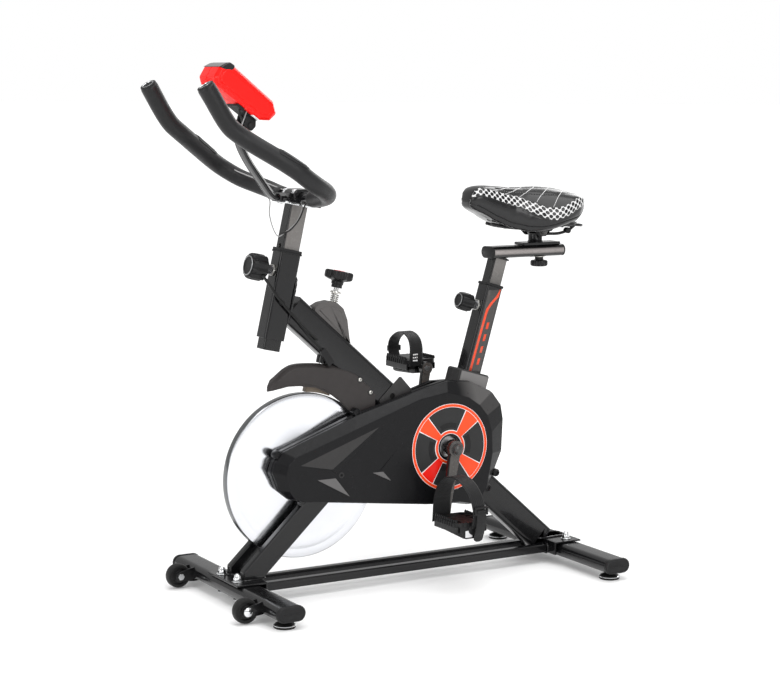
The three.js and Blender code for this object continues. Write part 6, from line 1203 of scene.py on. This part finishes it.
add("sensor_clip", *turned((23.6, -36, 606), (0, .72, -.70), [(2.8, -5), (4.4, -5), (4.6, -4), (4.6, 4), (4.4, 5), (2.8, 5)], 24, True), CAP, F)

# ------------------------------------------------------------------ every CAD part left gets its material
SLOTM = dict(frame_paint=PAINT, guard_plastic=GUARD, fender_plastic=FENDER, cap_plastic=CAP, chrome=CHROME, steel=STEEL, flywheel_chrome=FLYM, rubber=RUBBER, foam=FOAM, console_red=RED, console_black=GLOSS, disc_orange=ORANGE, saddle_leather=SAD, saddle_base=CAP, grey_plastic=GREY, knob_plastic=KNOB, felt=FELT, pedal_plastic=PEDAL)
for ob in bpy.data.objects:
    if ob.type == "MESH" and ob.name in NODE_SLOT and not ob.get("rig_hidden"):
        ob.data.materials.clear(); ob.data.materials.append(SLOTM[NODE_SLOT[ob.name]].m)

# ------------------------------------------------------------------ room, light, camera
floor = bpy.data.meshes.new("studio_floor")
V_, F_ = [(0, 0, 0)], []
RAD = (.8, 1.6, 3, 6, 12, 30, 80)
for r_ in RAD:
    for i in range(48): V_.append((r_ * math.cos(i * math.pi / 24), r_ * math.sin(i * math.pi / 24), 0))
for i in range(48): F_.append([0, 1 + i, 1 + (i + 1) % 48])
for k in range(len(RAD) - 1):
    for i in range(48):
        j = (i + 1) % 48; F_.append([1 + k * 48 + i, 1 + (k + 1) * 48 + i, 1 + (k + 1) * 48 + j, 1 + k * 48 + j])
floor.from_pydata(V_, [], F_); floor.update()
fob = bpy.data.objects.new("studio_floor", floor); bpy.context.scene.collection.objects.link(fob)
FLO = Mat("studio_paper", (.9, .9, .9), rough=.8, spec=.1, bscale=300, bump=.03, bdist=.0003, cvar=.01)
# the paper is open on all sides; painted light: it glows, weakly near the object and more strongly away from it, so it
# fades into the white surroundings
_f = FLO.xyz(); _fr = FLO.math("SQRT", FLO.math("ADD", FLO.math("MULTIPLY", _f[0], _f[0]), FLO.math("MULTIPLY", _f[1], _f[1])))
FLO.b.inputs["Emission Color"].default_value = (1, 1, 1, 1)
FLO.l(FLO.maprange(_fr, .8, 4.5, .13, .62), FLO.b.inputs["Emission Strength"])
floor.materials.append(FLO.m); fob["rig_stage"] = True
world = bpy.data.worlds.new("studio"); bpy.context.scene.world = world; world.use_nodes = True
wt = world.node_tree; wb = wt.nodes["Background"]; wb.inputs[0].default_value = (1, 1, 1, 1); wb.inputs[1].default_value = .62
wc = wt.nodes.new("ShaderNodeBackground"); wc.inputs[0].default_value = (1, 1, 1, 1); wc.inputs[1].default_value = 1.0
wl = wt.nodes.new("ShaderNodeLightPath"); wm = wt.nodes.new("ShaderNodeMixShader")
wt.links.new(wl.outputs["Is Camera Ray"], wm.inputs[0]); wt.links.new(wb.outputs[0], wm.inputs[1]); wt.links.new(wc.outputs[0], wm.inputs[2])
wt.links.new(wm.outputs[0], wt.nodes["World Output"].inputs["Surface"])
def area(name, loc, tgt, size, power, sy=None):
    L = bpy.data.lights.new(name, "AREA"); L.energy = power; L.size = size; L.shape = "RECTANGLE"; L.size_y = sy or size
    o = bpy.data.objects.new(name, L); bpy.context.scene.collection.objects.link(o); o.location = loc
    o.rotation_euler = (Vector(tgt) - Vector(loc)).to_track_quat("-Z", "Y").to_euler(); return o
area("top_soft", (.4, 0, 3.2), (0, 0, .4), 3.0, 62)
area("key_side", (3.0, -.2, 1.9), (0, 0, .6), 1.6, 34, 2.2)
area("rim_front", (.6, -2.8, 1.7), (0, 0, .6), 1.2, 22, 1.8)
area("rim_back", (-1.4, 2.2, 1.8), (0, 0, .6), 1.0, 14, 1.6)
azm = math.radians(59.62)
cam = bpy.data.cameras.new("photo_camera"); co = bpy.data.objects.new("photo_camera", cam); bpy.context.scene.collection.objects.link(co)
tl = math.radians(7.46); rl = math.radians(.31)
fwd = Vector((-math.sin(azm) * math.cos(tl), math.cos(azm) * math.cos(tl), -math.sin(tl))); rgt = Vector((math.cos(azm), math.sin(azm), 0)); upv = rgt.cross(fwd)
R_ = rgt * math.cos(rl) + upv * math.sin(rl); U_ = -rgt * math.sin(rl) + upv * math.cos(rl)
from mathutils import Matrix
mw = Matrix(((R_.x, U_.x, -fwd.x, 3.5068), (R_.y, U_.y, -fwd.y, -2.0383), (R_.z, U_.z, -fwd.z, 1.05), (0, 0, 0, 1)))
co.matrix_world = mw; cam.lens = 91.08; cam.sensor_width = 36; cam.clip_end = 100; bpy.context.scene.camera = co
sc = bpy.context.scene; sc.view_settings.view_transform = "Standard"; sc.view_settings.look = "None"; sc.view_settings.exposure = 0.0
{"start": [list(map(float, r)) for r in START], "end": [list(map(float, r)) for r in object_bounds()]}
